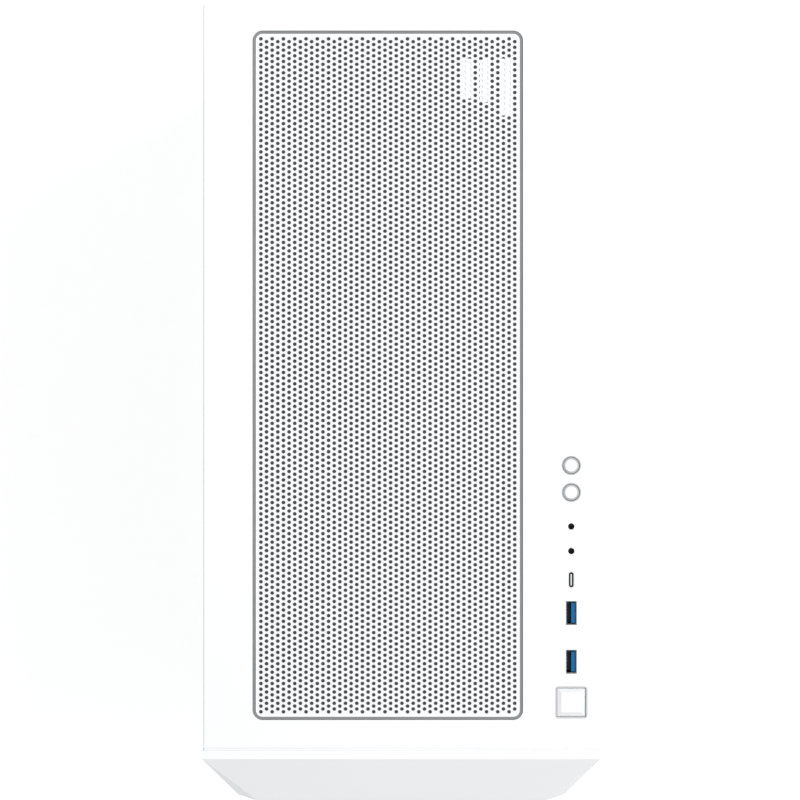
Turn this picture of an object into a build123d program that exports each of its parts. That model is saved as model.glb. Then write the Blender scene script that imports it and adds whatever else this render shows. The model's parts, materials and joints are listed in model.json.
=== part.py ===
from build123d import *
from math import cos, degrees, pi, radians, sin
import os

# A desktop computer tower: steel chassis with a glass door on the left, a steel panel on the right,
# a faceted front panel, and a top cover with a lift-off dust filter and a row of buttons and sockets.
# Millimetres, +Z up, the front faces -Y, +X is the right-hand side seen from the front.
# The origin is on the floor under the middle of the whole tower.

os.makedirs("parts", exist_ok=True)

# ---------------------------------------------------------------- overall sizes
case_width = 225.0
case_height = 485.0
body_depth = 422.5        # back plate to the seam behind the front panel
front_depth = 31.0        # seam to the front of the front panel
rear_proud = 8.0          # room behind the back plate for screw heads and hinges

# ---------------------------------------------------------------- chassis
sheet = 1.2
foot_height = 20.0
cap_height = 10.0         # top cover above the chassis deck
side_zone = 5.0           # side panel with its gap
cable_room = 22.3         # behind the motherboard tray
seam_gap = 1.4
panel_gap = 0.5           # side panels below the top cover, and behind the front panel
fit = 0.3                 # clearance round parts that move
slip = 0.08               # radial clearance of pins and shafts

# ---------------------------------------------------------------- top cover, filter and sockets
bay_x = -7.6              # radiator bay and front fans are offset towards the glass
filter_width = 149.1
filter_length = 385.7
filter_front = 19.0       # seam to the front edge of the filter
filter_thick = 2.6
filter_rim = 1.8
filter_corner = 3.7
filter_gap = 1.8
ledge = 2.2
io_inset = 16.5           # right-hand edge of the case to the row of buttons and sockets
power_at = 27.1           # distances behind the seam
usb_a_at = (50.1, 77.6)
usb_c_at = 96.4
jack_at = (112.6, 126.5)
led_at = 145.7
reset_at = 160.9
socket_depth = 16.0       # cover surface to the socket board
power_size = 15.7
power_flat = 10.9
power_gap = 1.25
button_travel = 1.5
round_radius = 4.6
round_flat = 3.35
round_gap = 0.9
cap_thick = 5.0
jack_collar_radius = 3.8
jack_bore_radius = 1.8
jack_bore_depth = 14.0
usb_opening = (5.12, 12.5)
usb_wall = 0.5
usb_c_opening = (2.6, 8.4)

# ---------------------------------------------------------------- front panel
front_band = 4.9          # flat edge next to the seam
bevel_drop = 22.0         # fall of the top and bottom bevels
side_bevel = 18.0         # how far the side bevels run in
corner_in = 30.3          # corner facet along the top edge
corner_drop = 30.0        # corner facet down the side edge
front_wall = 2.2
front_lip = 8.0
front_panel_rise = 12.0   # floor to the lower edge of the front panel
mesh_thick = 1.2
clip_radius = 3.0
clip_length = 8.0

# ---------------------------------------------------------------- fans
fan_size = 120.0
fan_depth = 25.0
duct_wall = 2.5
fan_hole_inset = 7.5
hub_radius = 21.0
hub_plate = 4.0
tube_radius = 4.5
shaft_radius = 2.0
cup_wall = 2.0
blade_thick = 1.6
blade_count = 9

# ---------------------------------------------------------------- motherboard and what it carries
board_height = 305.0
board_depth = 244.0
board_thick = 1.6
standoff = 6.5
board_rise = 13.0         # above the power supply shroud
board_rear_gap = 2.0
socket_from_rear = 90.0
socket_from_top = 85.0
port_window = (44.45, 158.75)
window_inset = 2.1        # window edge behind the back of the board
window_rise = 142.5       # lower edge of the window above the lower edge of the board
slot_pitch = 20.32
slot_count = 7
slot_drop = 16.5          # first slot below the window
slot_opening = (105.0, 14.5)
slot_cover = (122.0, 18.4)
memory_size = (35.0, 133.0, 5.0)
memory_first = 56.0
memory_pitch = 9.5
memory_socket = 6.0

# ---------------------------------------------------------------- graphics card
card_length = 240.0
card_height = 111.0
card_thick = 38.0
card_slot = 2
card_socket = 11.0
card_fan_radius = 48.0
card_fan_pitch = 112.0
card_fan_depth = 14.0

# ---------------------------------------------------------------- power supply and drives
psu_width = 150.0
psu_height = 86.0
psu_length = 150.0
psu_lift = 3.0
psu_headroom = 3.6
psu_inset = 17.5
psu_fan_radius = 60.0
psu_fan_depth = 20.0
drive_size = (147.0, 101.6, 26.1)
drive_pitch = 34.0

# ---------------------------------------------------------------- side panels and their fasteners
glass_thick = 4.0
panel_skin = 1.2
panel_flange = 4.0
leaf_thick = 0.8
leaf_width = 20.0
pin_radius = 1.5
knuckle_radius = 3.0
knuckle_length = 12.0
lug_height = 3.0
lug_length = 12.0
screw_radius = 1.5
screw_head = 3.0
screw_head_height = 2.2
thumb_radius = 5.0
thumb_shank = 1.7

# buttons, sockets and their board
boss_radius = 2.5
switch_height = 4.5
switch_size = 6.0
tongue_thick = 2.2
button_low = 0.3
stem_radius = 2.2
bevel_height = 1.0

# fan bearings and blades
shaft_start = 1.5
cup_gap = 1.0
cup_end_gap = 2.0

# rear sockets, processor and its cooler
port_depth = 18.0
socket_thick = 4.0
lid_thick = 3.0
processor_size = 37.5
power_plug_size = (13.0, 9.0, 52.0)
base_thick = 10.0
base_size = 42.0
fin_gap = 16.0
fin_length = 115.0
fin_depth = 44.0
fin_pitch = 5.0
fin_slot = 3.0
fin_web = 6.0
pipe_radius = 3.0
card_port_x = (44.0, 21.0, -2.0, -25.0)

# power inlet, rocker and main cable
inlet_size = (28.0, 20.4)
inlet_cavity = (24.6, 16.6)
inlet_depth = 20.0
rocker_size = (12.0, 15.0)
rocker_pin = 1.0
cable_radius = 5.0
cable_bends = (45.0, 45.0, 100.0, 100.0, 30.0, 14.0, 14.0)
cable_hole = (22.0, 46.0)

# feet, floor filter and slot covers
foot_size = (26.0, 42.0)
pad_height = 2.0
rail_lip = 3.0
bottom_filter_width = 120.0
bottom_filter_thick = 2.5
cover_thick = 0.9


# ---------------------------------------------------------------- places worked out from the sizes
half_width = case_width / 2
fan_duct = fan_size / 2 - duct_wall
fan_holes = fan_size - 2 * fan_hole_inset
power_recess = power_size + 2 * power_gap
round_recess = round_radius + round_gap
chassis_half = half_width - side_zone
back_y = (front_depth + body_depth + rear_proud) / 2 - rear_proud
seam_y = back_y - body_depth
front_y = seam_y - front_depth
inner_back_y = back_y - sheet
inner_front_y = seam_y + sheet
floor_z = foot_height
floor_top = floor_z + sheet
deck_z = case_height - cap_height
deck_under = deck_z - sheet
cover_under = case_height - sheet * 1.25
tray_x = chassis_half - cable_room - sheet
tray_back_x = tray_x + sheet
io_x = half_width - io_inset
socket_board_z = case_height - socket_depth

shroud_top = floor_top + psu_lift + psu_height + psu_headroom + sheet
fan_pitch = fan_size + 1.0
front_fan_seat_y = inner_front_y + fan_depth
fan_middle_z = (floor_top + deck_under) / 2
shroud_front_y = front_fan_seat_y + 5.5
tray_front_y = shroud_front_y + 18.0

board_back_x = tray_x - standoff
board_face_x = board_back_x - board_thick
board_bottom = shroud_top + board_rise
board_top = board_bottom + board_height
board_rear_y = inner_back_y - board_rear_gap
board_front_y = board_rear_y - board_depth
window_right = board_back_x + window_inset
window_left = window_right - port_window[0]
window_bottom = board_bottom + window_rise
window_top = window_bottom + port_window[1]
slot_one_z = window_bottom - slot_drop
slot_right_x = board_face_x - 4.0
slot_middle_x = slot_right_x - slot_opening[0] / 2
rear_fan_x = window_left - 6.0 - fan_size / 2
rear_fan_z = deck_under - 15.0 - fan_size / 2
processor_y = board_rear_y - socket_from_rear
processor_z = board_top - socket_from_top

card_z = slot_one_z - (card_slot - 1) * slot_pitch
card_under = card_z - board_thick / 2
card_right_x = board_face_x - card_socket
psu_right_x = chassis_half - psu_inset
psu_left_x = psu_right_x - psu_width
psu_middle_x = (psu_left_x + psu_right_x) / 2
psu_bottom = floor_top + psu_lift
psu_front_y = inner_back_y - psu_length
filter_middle_y = seam_y + filter_front + filter_length / 2
hinge_x = -half_width + 5.5
hinge_y = back_y + 4.0


def block(x, y, z, mode=Mode.ADD):
    """Add or cut a box that spans the three ranges, in the part being built."""
    with Locations(((x[0] + x[1]) / 2, (y[0] + y[1]) / 2, (z[0] + z[1]) / 2)):
        Box(x[1] - x[0], y[1] - y[0], z[1] - z[0], mode=mode)


def save(builder, label):
    """Name a finished piece and write it to its own file."""
    builder.part.label = label
    export_step(builder.part, f"parts/{label}.step")


def facing_front(y):
    """Plane at depth y: sketches run in X and Z, and extrude towards the front."""
    return Plane.XZ.offset(-y)


def facing_up(z, x=0.0, y=0.0):
    """Level plane with its origin over x, y."""
    return Plane(origin=(x, y, z), x_dir=(1, 0, 0), z_dir=(0, 0, 1))


# ================================================================ chassis plates
front_fan_heights = [fan_middle_z + (k - 1) * fan_pitch for k in range(3)]
clip_x = half_width - side_bevel + 3.5
clip_heights = (floor_z + 75.0, fan_middle_z, deck_z - 75.0)
clip_points = [(side * clip_x, z) for side in (-1, 1) for z in clip_heights]

with BuildPart() as chassis_front:
    with BuildSketch(facing_front(inner_front_y)):
        with Locations((0, (floor_z + deck_z) / 2)):
            Rectangle(2 * chassis_half, deck_z - floor_z)
        with Locations([(bay_x, z) for z in front_fan_heights]):
            Circle(fan_duct, mode=Mode.SUBTRACT)
            with GridLocations(fan_holes, fan_holes, 2, 2):
                Circle(screw_radius + fit, mode=Mode.SUBTRACT)
        with Locations(clip_points):
            Circle(clip_radius + fit, mode=Mode.SUBTRACT)
    extrude(amount=sheet)
save(chassis_front, "chassis_front")

slot_heights = [slot_one_z - k * slot_pitch for k in range(slot_count)]
screw_x = slot_middle_x - slot_opening[0] / 2 - 4.5
thumb_x = chassis_half - 4.5
thumb_heights = (floor_z + 80.0, deck_z - 75.0)
psu_middle_z = psu_bottom + psu_height / 2
psu_screw_points = [
    (psu_middle_x + side * (psu_width / 2 - 6.0), psu_middle_z + up * (psu_height / 2 - 6.0))
    for side in (-1, 1)
    for up in (-1, 1)
]
slot_screw_points = [(screw_x, z) for z in slot_heights]
fan_screw_points = [
    (rear_fan_x + side * fan_holes / 2, rear_fan_z + up * fan_holes / 2)
    for side in (-1, 1)
    for up in (-1, 1)
]
rear_screw_points = psu_screw_points + slot_screw_points + fan_screw_points

with BuildPart() as rear_panel:
    with BuildSketch(facing_front(back_y)):
        with Locations((0, (floor_z + deck_z) / 2)):
            Rectangle(2 * chassis_half, deck_z - floor_z)
        with Locations(((window_left + window_right) / 2, (window_bottom + window_top) / 2)):
            Rectangle(*port_window, mode=Mode.SUBTRACT)
        with Locations([(slot_middle_x, z) for z in slot_heights]):
            Rectangle(*slot_opening, mode=Mode.SUBTRACT)
        with Locations((psu_middle_x, psu_middle_z)):
            Rectangle(psu_width - 24.0, psu_height - 8.0, mode=Mode.SUBTRACT)
        with Locations(rear_screw_points):
            Circle(screw_radius + slip, mode=Mode.SUBTRACT)
        with Locations([(thumb_x, z) for z in thumb_heights]):
            Circle(thumb_shank + fit, mode=Mode.SUBTRACT)
    extrude(amount=sheet)
save(rear_panel, "rear_panel")

rail_top = floor_z
bottom_filter_x = psu_middle_x - 5.0
rail_gap = bottom_filter_width / 2 + fit

with BuildPart() as chassis_floor:
    block((-chassis_half, chassis_half), (inner_front_y, inner_back_y), (floor_z, floor_top))
    for ledge_x in (psu_left_x + 8.0, psu_right_x - 16.0):
        block(
            (ledge_x, ledge_x + 8.0),
            (psu_front_y + 4.0, inner_back_y - 2.0),
            (floor_top, psu_bottom),
        )
    for side in (-1, 1):
        inner = bottom_filter_x + side * rail_gap
        outer = inner + side * 1.5
        lip_end = inner - side * rail_lip
        block(sorted((inner, outer)), (psu_front_y - 10.0, inner_back_y), (floor_z - 4.2, rail_top))
        block(
            sorted((lip_end, outer)),
            (psu_front_y - 10.0, inner_back_y),
            (floor_z - 4.2, floor_z - 3.0),
        )
save(chassis_floor, "chassis_floor")

deck_opening = 2 * (filter_width / 2 - ledge)
deck_left = bay_x - deck_opening / 2
deck_right = bay_x + deck_opening / 2
deck_front_y = seam_y + 22.0
deck_back_y = back_y - 20.0
tab_x = bay_x + 42.6
tab_slots = ((tab_x + 6.8, tab_x + 9.6), (tab_x + 14.1, tab_x + 19.2))

with BuildPart() as chassis_top:
    block((-chassis_half, chassis_half), (inner_front_y, inner_back_y), (deck_under, deck_z))
    block((deck_left, deck_right), (deck_front_y, deck_back_y), (deck_under, deck_z), Mode.SUBTRACT)
    block((tab_x, deck_right), (deck_back_y - 45.0, deck_back_y), (deck_under, deck_z))
    for slot_x in tab_slots:
        block(slot_x, (deck_back_y - 36.0, deck_back_y - 8.0), (deck_under, deck_z), Mode.SUBTRACT)
    block(
        (io_x - 10.0, io_x + 10.3),
        (seam_y + power_at - 14.0, seam_y + reset_at + 13.0),
        (deck_under, deck_z),
        Mode.SUBTRACT,
    )
save(chassis_top, "chassis_top")

cable_hole_y = board_front_y - 22.0
cable_hole_z = board_bottom + 0.57 * board_height
cable_holes = [
    (cable_hole_y, cable_hole_z),
    (cable_hole_y, cable_hole_z - 75.0),
    (cable_hole_y, cable_hole_z + 75.0),
]

with BuildPart() as motherboard_tray:
    with BuildSketch(Plane.YZ.offset(tray_x)):
        with Locations(((tray_front_y + inner_back_y) / 2, (shroud_top + deck_under) / 2)):
            Rectangle(inner_back_y - tray_front_y, deck_under - shroud_top)
        with Locations(cable_holes):
            SlotOverall(cable_hole[1], cable_hole[0], rotation=90, mode=Mode.SUBTRACT)
    extrude(amount=sheet)
save(motherboard_tray, "motherboard_tray")

with BuildPart() as psu_shroud:
    block((-chassis_half, tray_back_x), (shroud_front_y, inner_back_y), (floor_top, shroud_top))
    block(
        (-chassis_half + sheet, tray_back_x),
        (shroud_front_y + sheet, inner_back_y),
        (floor_top, shroud_top - sheet),
        Mode.SUBTRACT,
    )
save(psu_shroud, "psu_shroud")

# ================================================================ feet
foot_points = [
    (side * (chassis_half - 17.5), y)
    for side in (-1, 1)
    for y in (seam_y + 38.0, back_y - 38.0)
]

with BuildPart() as feet:
    with BuildSketch(Plane.XY.offset(floor_z)):
        with Locations(foot_points):
            RectangleRounded(foot_size[0], foot_size[1], 6.0)
    extrude(amount=-(foot_height - pad_height))
    chamfer(feet.faces().sort_by(Axis.Z)[0:4].edges(), 2.0)
save(feet, "feet")

with BuildPart() as foot_pads:
    with BuildSketch(Plane.XY):
        with Locations(foot_points):
            RectangleRounded(foot_size[0] - 6.0, foot_size[1] - 6.0, 4.0)
    extrude(amount=pad_height)
save(foot_pads, "foot_pads")

# ================================================================ top cover
cover_left = -half_width + 1.2
cover_front_y = seam_y + seam_gap
recess = (filter_width + 2 * filter_gap, filter_length + 2 * filter_gap)
recess_corner = filter_corner + filter_gap
ledge_top = case_height - filter_thick - 0.4
ledge_under = ledge_top - 1.5
boss_points = [(io_x, seam_y + y) for y in (39.0, 64.0, 87.5, 136.0)]
usb_shell = (usb_opening[0] + 2 * usb_wall, usb_opening[1] + 2 * usb_wall)
usb_c_shell = (usb_c_opening[0] + 2 * usb_wall, usb_c_opening[1] + 2 * usb_wall)
round_button_points = [(io_x, seam_y + y) for y in (led_at, reset_at)]
jack_points = [(io_x, seam_y + y) for y in jack_at]
usb_points = [(io_x, seam_y + y) for y in usb_a_at]
bay_plane = facing_up(case_height, bay_x, filter_middle_y)

with BuildPart() as top_cover:
    block((cover_left, half_width), (cover_front_y, back_y), (deck_z, case_height))
    block(
        (cover_left + sheet, half_width - sheet),
        (cover_front_y + sheet, back_y - sheet),
        (deck_z, cover_under),
        Mode.SUBTRACT,
    )
    with BuildSketch(bay_plane):
        RectangleRounded(recess[0] + 2 * sheet, recess[1] + 2 * sheet, recess_corner + sheet)
    extrude(amount=ledge_under - case_height)
    with BuildSketch(bay_plane):
        RectangleRounded(*recess, recess_corner)
    extrude(amount=ledge_top - case_height, mode=Mode.SUBTRACT)
    with BuildSketch(bay_plane):
        RectangleRounded(filter_width - 2 * ledge, filter_length - 2 * ledge, 3.0)
    extrude(amount=deck_z - case_height, mode=Mode.SUBTRACT)
    # shallow channel that makes the seam in front of the cover
    block(
        (cover_left, half_width),
        (seam_y, cover_front_y),
        (deck_z, case_height - seam_gap),
    )
    # bosses that carry the socket board
    with BuildSketch(Plane.XY.offset(cover_under)):
        with Locations(boss_points):
            Circle(boss_radius)
    extrude(amount=socket_board_z - cover_under)
    with BuildSketch(Plane.XY.offset(case_height)):
        with Locations((io_x, seam_y + power_at)):
            Rectangle(power_size + 2 * fit, power_size + 2 * fit)
        with Locations(round_button_points):
            Circle(round_radius + fit)
        with Locations(jack_points):
            Circle(jack_collar_radius)
        with Locations((io_x, seam_y + usb_c_at)):
            RectangleRounded(*usb_c_shell, 1.6)
        with Locations(usb_points):
            Rectangle(*usb_shell)
    extrude(amount=cover_under - case_height, mode=Mode.SUBTRACT)
    with BuildSketch(Plane.XY.offset(case_height)):
        with Locations((io_x, seam_y + power_at)):
            RectangleRounded(power_recess, power_recess, 1.8)
        with Locations(round_button_points):
            Circle(round_recess)
    extrude(amount=-0.6, mode=Mode.SUBTRACT)
save(top_cover, "top_cover")

# ================================================================ sockets, buttons and their board
switch_top = socket_board_z + switch_height
button_points = [(io_x, seam_y + y) for y in (power_at, led_at, reset_at)]

with BuildPart() as io_board:
    block(
        (io_x - 9.0, io_x + 9.0),
        (seam_y + power_at - 12.0, seam_y + reset_at + 11.0),
        (socket_board_z - board_thick, socket_board_z),
    )
    # button switches, soldered to the board
    with BuildSketch(Plane.XY.offset(socket_board_z)):
        with Locations(button_points):
            RectangleRounded(switch_size, switch_size, 0.6)
    extrude(amount=switch_height - 1.2)
    with BuildSketch(Plane.XY.offset(switch_top - 1.2)):
        with Locations(button_points):
            Circle(1.7)
    extrude(amount=1.2)
save(io_board, "io_board")

shell_top = case_height - 0.2
with BuildPart() as usb_a_ports:
    with BuildSketch(Plane.XY.offset(socket_board_z)):
        with Locations(usb_points):
            Rectangle(*usb_shell)
    extrude(amount=shell_top - socket_board_z)
    with BuildSketch(Plane.XY.offset(socket_board_z + 2.0)):
        with Locations(usb_points):
            Rectangle(*usb_opening)
    extrude(amount=socket_depth, mode=Mode.SUBTRACT)
save(usb_a_ports, "usb_a_ports")

with BuildPart() as usb_a_tongues:
    with BuildSketch(Plane.XY.offset(socket_board_z + 2.0)):
        with Locations([(x + usb_opening[0] / 2 - tongue_thick / 2 - 0.4, y) for x, y in usb_points]):
            Rectangle(tongue_thick, usb_opening[1] - 1.0)
    extrude(amount=shell_top - socket_board_z - 3.0)
save(usb_a_tongues, "usb_a_tongues")

with BuildPart() as usb_c_port:
    with BuildSketch(Plane.XY.offset(socket_board_z)):
        with Locations((io_x, seam_y + usb_c_at)):
            RectangleRounded(*usb_c_shell, 1.6)
    extrude(amount=shell_top - socket_board_z)
    with BuildSketch(Plane.XY.offset(socket_board_z + 2.0)):
        with Locations((io_x, seam_y + usb_c_at)):
            RectangleRounded(*usb_c_opening, 1.2)
            Rectangle(0.8, usb_c_opening[1] - 2.0, mode=Mode.SUBTRACT)
    extrude(amount=socket_depth, mode=Mode.SUBTRACT)
save(usb_c_port, "usb_c_port")

with BuildPart() as audio_jacks:
    with BuildSketch(Plane.XY.offset(socket_board_z)):
        with Locations(jack_points):
            Circle(jack_collar_radius)
    extrude(amount=shell_top - socket_board_z)
    with Locations([(x, y, shell_top) for x, y in jack_points]):
        Hole(radius=jack_bore_radius, depth=jack_bore_depth)
save(audio_jacks, "audio_jacks")

button_top = case_height - button_low
stem_end = switch_top + button_travel + fit


with BuildPart() as power_button:
    power_point = (io_x, seam_y + power_at)
    with BuildSketch(Plane.XY.offset(button_top - cap_thick)):
        with Locations(power_point):
            Rectangle(power_size, power_size)
    extrude(amount=cap_thick - bevel_height)
    with BuildSketch(Plane.XY.offset(button_top - bevel_height)):
        with Locations(power_point):
            Rectangle(power_size, power_size)
    with BuildSketch(Plane.XY.offset(button_top)):
        with Locations(power_point):
            Rectangle(power_flat, power_flat)
    loft()
    with BuildSketch(Plane.XY.offset(stem_end)):
        with Locations(power_point):
            Circle(stem_radius)
    extrude(amount=button_top - cap_thick - stem_end)
save(power_button, "power_button")


def make_round_button(at):
    """Round push button with a dished edge, on a stem above its switch."""
    with BuildPart() as button:
        with BuildSketch(Plane.XY.offset(button_top - cap_thick)):
            with Locations((io_x, seam_y + at)):
                Circle(round_radius)
        extrude(amount=cap_thick)
        chamfer(
            button.faces().sort_by(Axis.Z)[-1].edges(),
            length=bevel_height,
            length2=round_radius - round_flat,
        )
        with BuildSketch(Plane.XY.offset(stem_end)):
            with Locations((io_x, seam_y + at)):
                Circle(stem_radius)
        extrude(amount=button_top - cap_thick - stem_end)
    return button


led_button = make_round_button(led_at)
save(led_button, "led_button")
reset_button = make_round_button(reset_at)
save(reset_button, "reset_button")

# ================================================================ dust filters
with BuildPart() as top_dust_filter:
    with BuildSketch(facing_up(ledge_top, bay_x, filter_middle_y)):
        RectangleRounded(filter_width, filter_length, filter_corner)
    extrude(amount=filter_thick)
    with BuildSketch(facing_up(ledge_top, bay_x, filter_middle_y)):
        Rectangle(filter_width - 2 * filter_rim, filter_length - 2 * filter_rim)
    extrude(amount=filter_thick - sheet, mode=Mode.SUBTRACT)
save(top_dust_filter, "top_dust_filter")

bottom_filter_z = floor_z - 3.0
with BuildPart() as bottom_dust_filter:
    block(
        (bottom_filter_x - bottom_filter_width / 2, bottom_filter_x + bottom_filter_width / 2),
        (psu_front_y - 5.0, back_y + 4.0),
        (bottom_filter_z, bottom_filter_z + bottom_filter_thick),
    )
    # pull tab at the back
    block(
        (bottom_filter_x - 20.0, bottom_filter_x + 20.0),
        (back_y + 2.0, back_y + 4.0),
        (bottom_filter_z - 8.0, bottom_filter_z + bottom_filter_thick),
    )
save(bottom_dust_filter, "bottom_dust_filter")

# ================================================================ front panel
panel_bottom = front_panel_rise
panel_middle_z = (panel_bottom + case_height) / 2
panel_height = case_height - panel_bottom
band_y = seam_y - front_band


def facet(points, inset):
    """Plane through three corners, facing away from the middle of the panel and moved inwards."""
    origin, second, third = (Vector(*point) for point in points)
    normal = (second - origin).cross(third - origin).normalized()
    middle = Vector(0, seam_y, panel_middle_z)
    if normal.dot(middle - origin) > 0:
        normal = normal * -1
    return Plane(origin=origin - normal * inset, z_dir=normal)


def bezel_facets(inset):
    """The four bevels and four corner facets of the front panel."""
    facets = []
    for up in (-1, 1):
        edge_z = panel_middle_z + up * panel_height / 2
        plate_z = edge_z - up * bevel_drop
        facets.append(facet(((0, band_y, edge_z), (9, band_y, edge_z), (0, front_y, plate_z)), inset))
        for side in (-1, 1):
            corner_a = (side * half_width, band_y, edge_z)
            corner_b = (side * (half_width - side_bevel), front_y, plate_z - up * corner_drop)
            corner_c = (side * (half_width - corner_in), front_y, plate_z)
            facets.append(facet((corner_a, corner_b, corner_c), inset))
    for side in (-1, 1):
        edge = (side * half_width, band_y, panel_middle_z)
        above = (side * half_width, band_y, panel_middle_z + 9)
        plate = (side * (half_width - side_bevel), front_y, panel_middle_z)
        facets.append(facet((edge, above, plate), inset))
    return facets


def make_faceted_block(inset):
    """Solid of the front panel's outer shape, moved inwards on every side but the back."""
    with BuildPart() as body:
        with BuildSketch(facing_front(seam_y)):
            with Locations((0, panel_middle_z)):
                Rectangle(case_width - 2 * inset, panel_height - 2 * inset)
        extrude(amount=front_depth - inset)
        for plane in bezel_facets(inset):
            split(bisect_by=plane, keep=Keep.BOTTOM)
    return body


def plate_outline(inset):
    """Corners of the eight-sided front plate, in X and height, moved in from its edge."""
    right = half_width - side_bevel - inset
    top = panel_height / 2 - bevel_drop - inset
    cut_x = corner_in - side_bevel
    return [
        (right, top - corner_drop), (right - cut_x, top),
        (cut_x - right, top), (-right, top - corner_drop),
        (-right, corner_drop - top), (cut_x - right, -top),
        (right - cut_x, -top), (right, corner_drop - top),
    ]


hollow = make_faceted_block(front_wall)
mesh_y = front_y + front_wall
clip_boss_radius = clip_radius + 1.5
clip_boss_edge = half_width - clip_x - clip_boss_radius
clip_boss_length = front_band + clip_boss_edge / side_bevel * (front_depth - front_band) - 0.6

with BuildPart() as front_bezel:
    add(make_faceted_block(0).part)
    add(hollow.part, mode=Mode.SUBTRACT)
    with BuildSketch(Plane(origin=(0, mesh_y, panel_middle_z), x_dir=(1, 0, 0), z_dir=(0, -1, 0))):
        Polygon(*plate_outline(front_lip), align=None)
    extrude(amount=front_wall, mode=Mode.SUBTRACT)
    with BuildSketch(facing_front(seam_y)):
        with Locations(clip_points):
            Circle(clip_boss_radius)
    extrude(amount=clip_boss_length)
save(front_bezel, "front_bezel")

with BuildPart() as panel_clips:
    with BuildSketch(facing_front(seam_y + clip_length)):
        with Locations(clip_points):
            Circle(clip_radius)
    extrude(amount=clip_length)
save(panel_clips, "panel_clips")

with BuildPart() as front_mesh:
    with BuildSketch(
        Plane(origin=(0, mesh_y + mesh_thick, panel_middle_z), x_dir=(1, 0, 0), z_dir=(0, -1, 0))
    ):
        Polygon(*plate_outline(front_lip - 4.0), align=None)
    extrude(amount=mesh_thick)
save(front_mesh, "front_mesh")

# ================================================================ fans
blade_pitch = radians(50.0)


def make_bearing(seat, depth):
    """Add a bearing tube on the seat plane, and bore it for the rotor's shaft."""
    tube_end = depth - cup_end_gap - cup_wall - cup_gap
    with BuildSketch(seat) as tube:
        Circle(tube_radius)
    with BuildSketch(seat.offset(shaft_start - 0.5)) as bore:
        Circle(shaft_radius + slip)
    extrude(tube.sketch, amount=tube_end)
    extrude(bore.sketch, amount=tube_end, mode=Mode.SUBTRACT)


def make_fan_frame(seat):
    """Square fan frame on its seat plane, with motor plate, bearing tube and four struts."""
    with BuildPart() as frame:
        with BuildSketch(seat):
            RectangleRounded(fan_size, fan_size, 6.0)
            Circle(fan_duct, mode=Mode.SUBTRACT)
            with GridLocations(fan_holes, fan_holes, 2, 2):
                Circle(screw_radius + fit, mode=Mode.SUBTRACT)
        extrude(amount=fan_depth)
        with BuildSketch(seat):
            Circle(hub_radius)
            with PolarLocations((fan_duct + hub_radius) / 2, 4, start_angle=45):
                Rectangle(fan_duct - hub_radius + 2.0, 4.0)
        extrude(amount=hub_plate)
        make_bearing(seat, fan_depth)
    return frame


def make_fan_rotor(seat, start, depth, tip_radius, rotor_hub):
    """Hub cup with a shaft and pitched blades, turning about the seat plane's normal."""
    cup_height = depth - start - cup_end_gap
    chord = (cup_height - blade_thick * sin(blade_pitch)) / cos(blade_pitch)
    middle = seat.offset(start + cup_height / 2)
    with BuildPart() as rotor:
        for k in range(blade_count):
            turn = 2 * pi * k / blade_count
            outward = middle.x_dir * cos(turn) + middle.y_dir * sin(turn)
            root = middle.origin + outward * (rotor_hub * 0.75)
            with BuildSketch(Plane(origin=root, x_dir=middle.z_dir, z_dir=outward)):
                Rectangle(chord, blade_thick, rotation=degrees(blade_pitch))
            extrude(amount=tip_radius - rotor_hub * 0.75)
        with BuildSketch(seat):
            Circle(tip_radius)
        extrude(amount=depth, mode=Mode.INTERSECT)
        with BuildSketch(seat.offset(start)):
            Circle(rotor_hub)
        extrude(amount=cup_height)
        with BuildSketch(seat.offset(start)):
            Circle(rotor_hub - cup_wall)
        extrude(amount=cup_height - cup_wall, mode=Mode.SUBTRACT)
        with BuildSketch(seat.offset(shaft_start)):
            Circle(shaft_radius)
        extrude(amount=start + cup_height - cup_wall - shaft_start)
    return rotor


blade_tip = fan_duct - 1.0
rotor_radius = hub_radius - 1.0


def make_fan(label, seat):
    """Write the frame and the rotor of one case fan."""
    save(make_fan_frame(seat), f"{label}_frame")
    rotor = make_fan_rotor(seat, hub_plate + cup_gap, fan_depth, blade_tip, rotor_radius)
    save(rotor, f"{label}_rotor")


def fan_seat(x, y, z):
    """Outlet side of a fan that blows backwards; the fan stands in front of it."""
    return Plane(origin=(x, y, z), x_dir=(1, 0, 0), z_dir=(0, -1, 0))


for name, fan_z in zip(("lower", "middle", "upper"), front_fan_heights):
    make_fan(f"front_fan_{name}", fan_seat(bay_x, front_fan_seat_y, fan_z))
make_fan("rear_fan", fan_seat(rear_fan_x, inner_back_y, rear_fan_z))

# ================================================================ motherboard
with BuildPart() as motherboard:
    block((board_face_x, board_back_x), (board_front_y, board_rear_y), (board_bottom, board_top))
save(motherboard, "motherboard")

stud_points = [
    (board_rear_y - y, board_top - z)
    for y in (8.0, 130.0, 236.0)
    for z in (8.0, 160.0, 290.0)
]

with BuildPart() as standoffs:
    with BuildSketch(Plane.YZ.offset(board_back_x)):
        with Locations(stud_points):
            RegularPolygon(3.0, 6)
    extrude(amount=standoff)
save(standoffs, "standoffs")

# centre below the top of the window, length along the board and height above it
port_stacks = (
    (13.0, 16.0, 28.0),
    (36.0, 15.0, 16.0),
    (58.0, 16.0, 32.0),
    (80.0, 16.0, 32.0),
    (103.0, 16.0, 30.0),
    (134.0, 30.0, 34.0),
)

with BuildPart() as rear_io_ports:
    for below, length, height in port_stacks:
        middle_z = window_top - below
        block(
            (board_face_x - height, board_face_x),
            (board_rear_y - port_depth, back_y),
            (middle_z - length / 2, middle_z + length / 2),
        )
save(rear_io_ports, "rear_io_ports")

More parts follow.
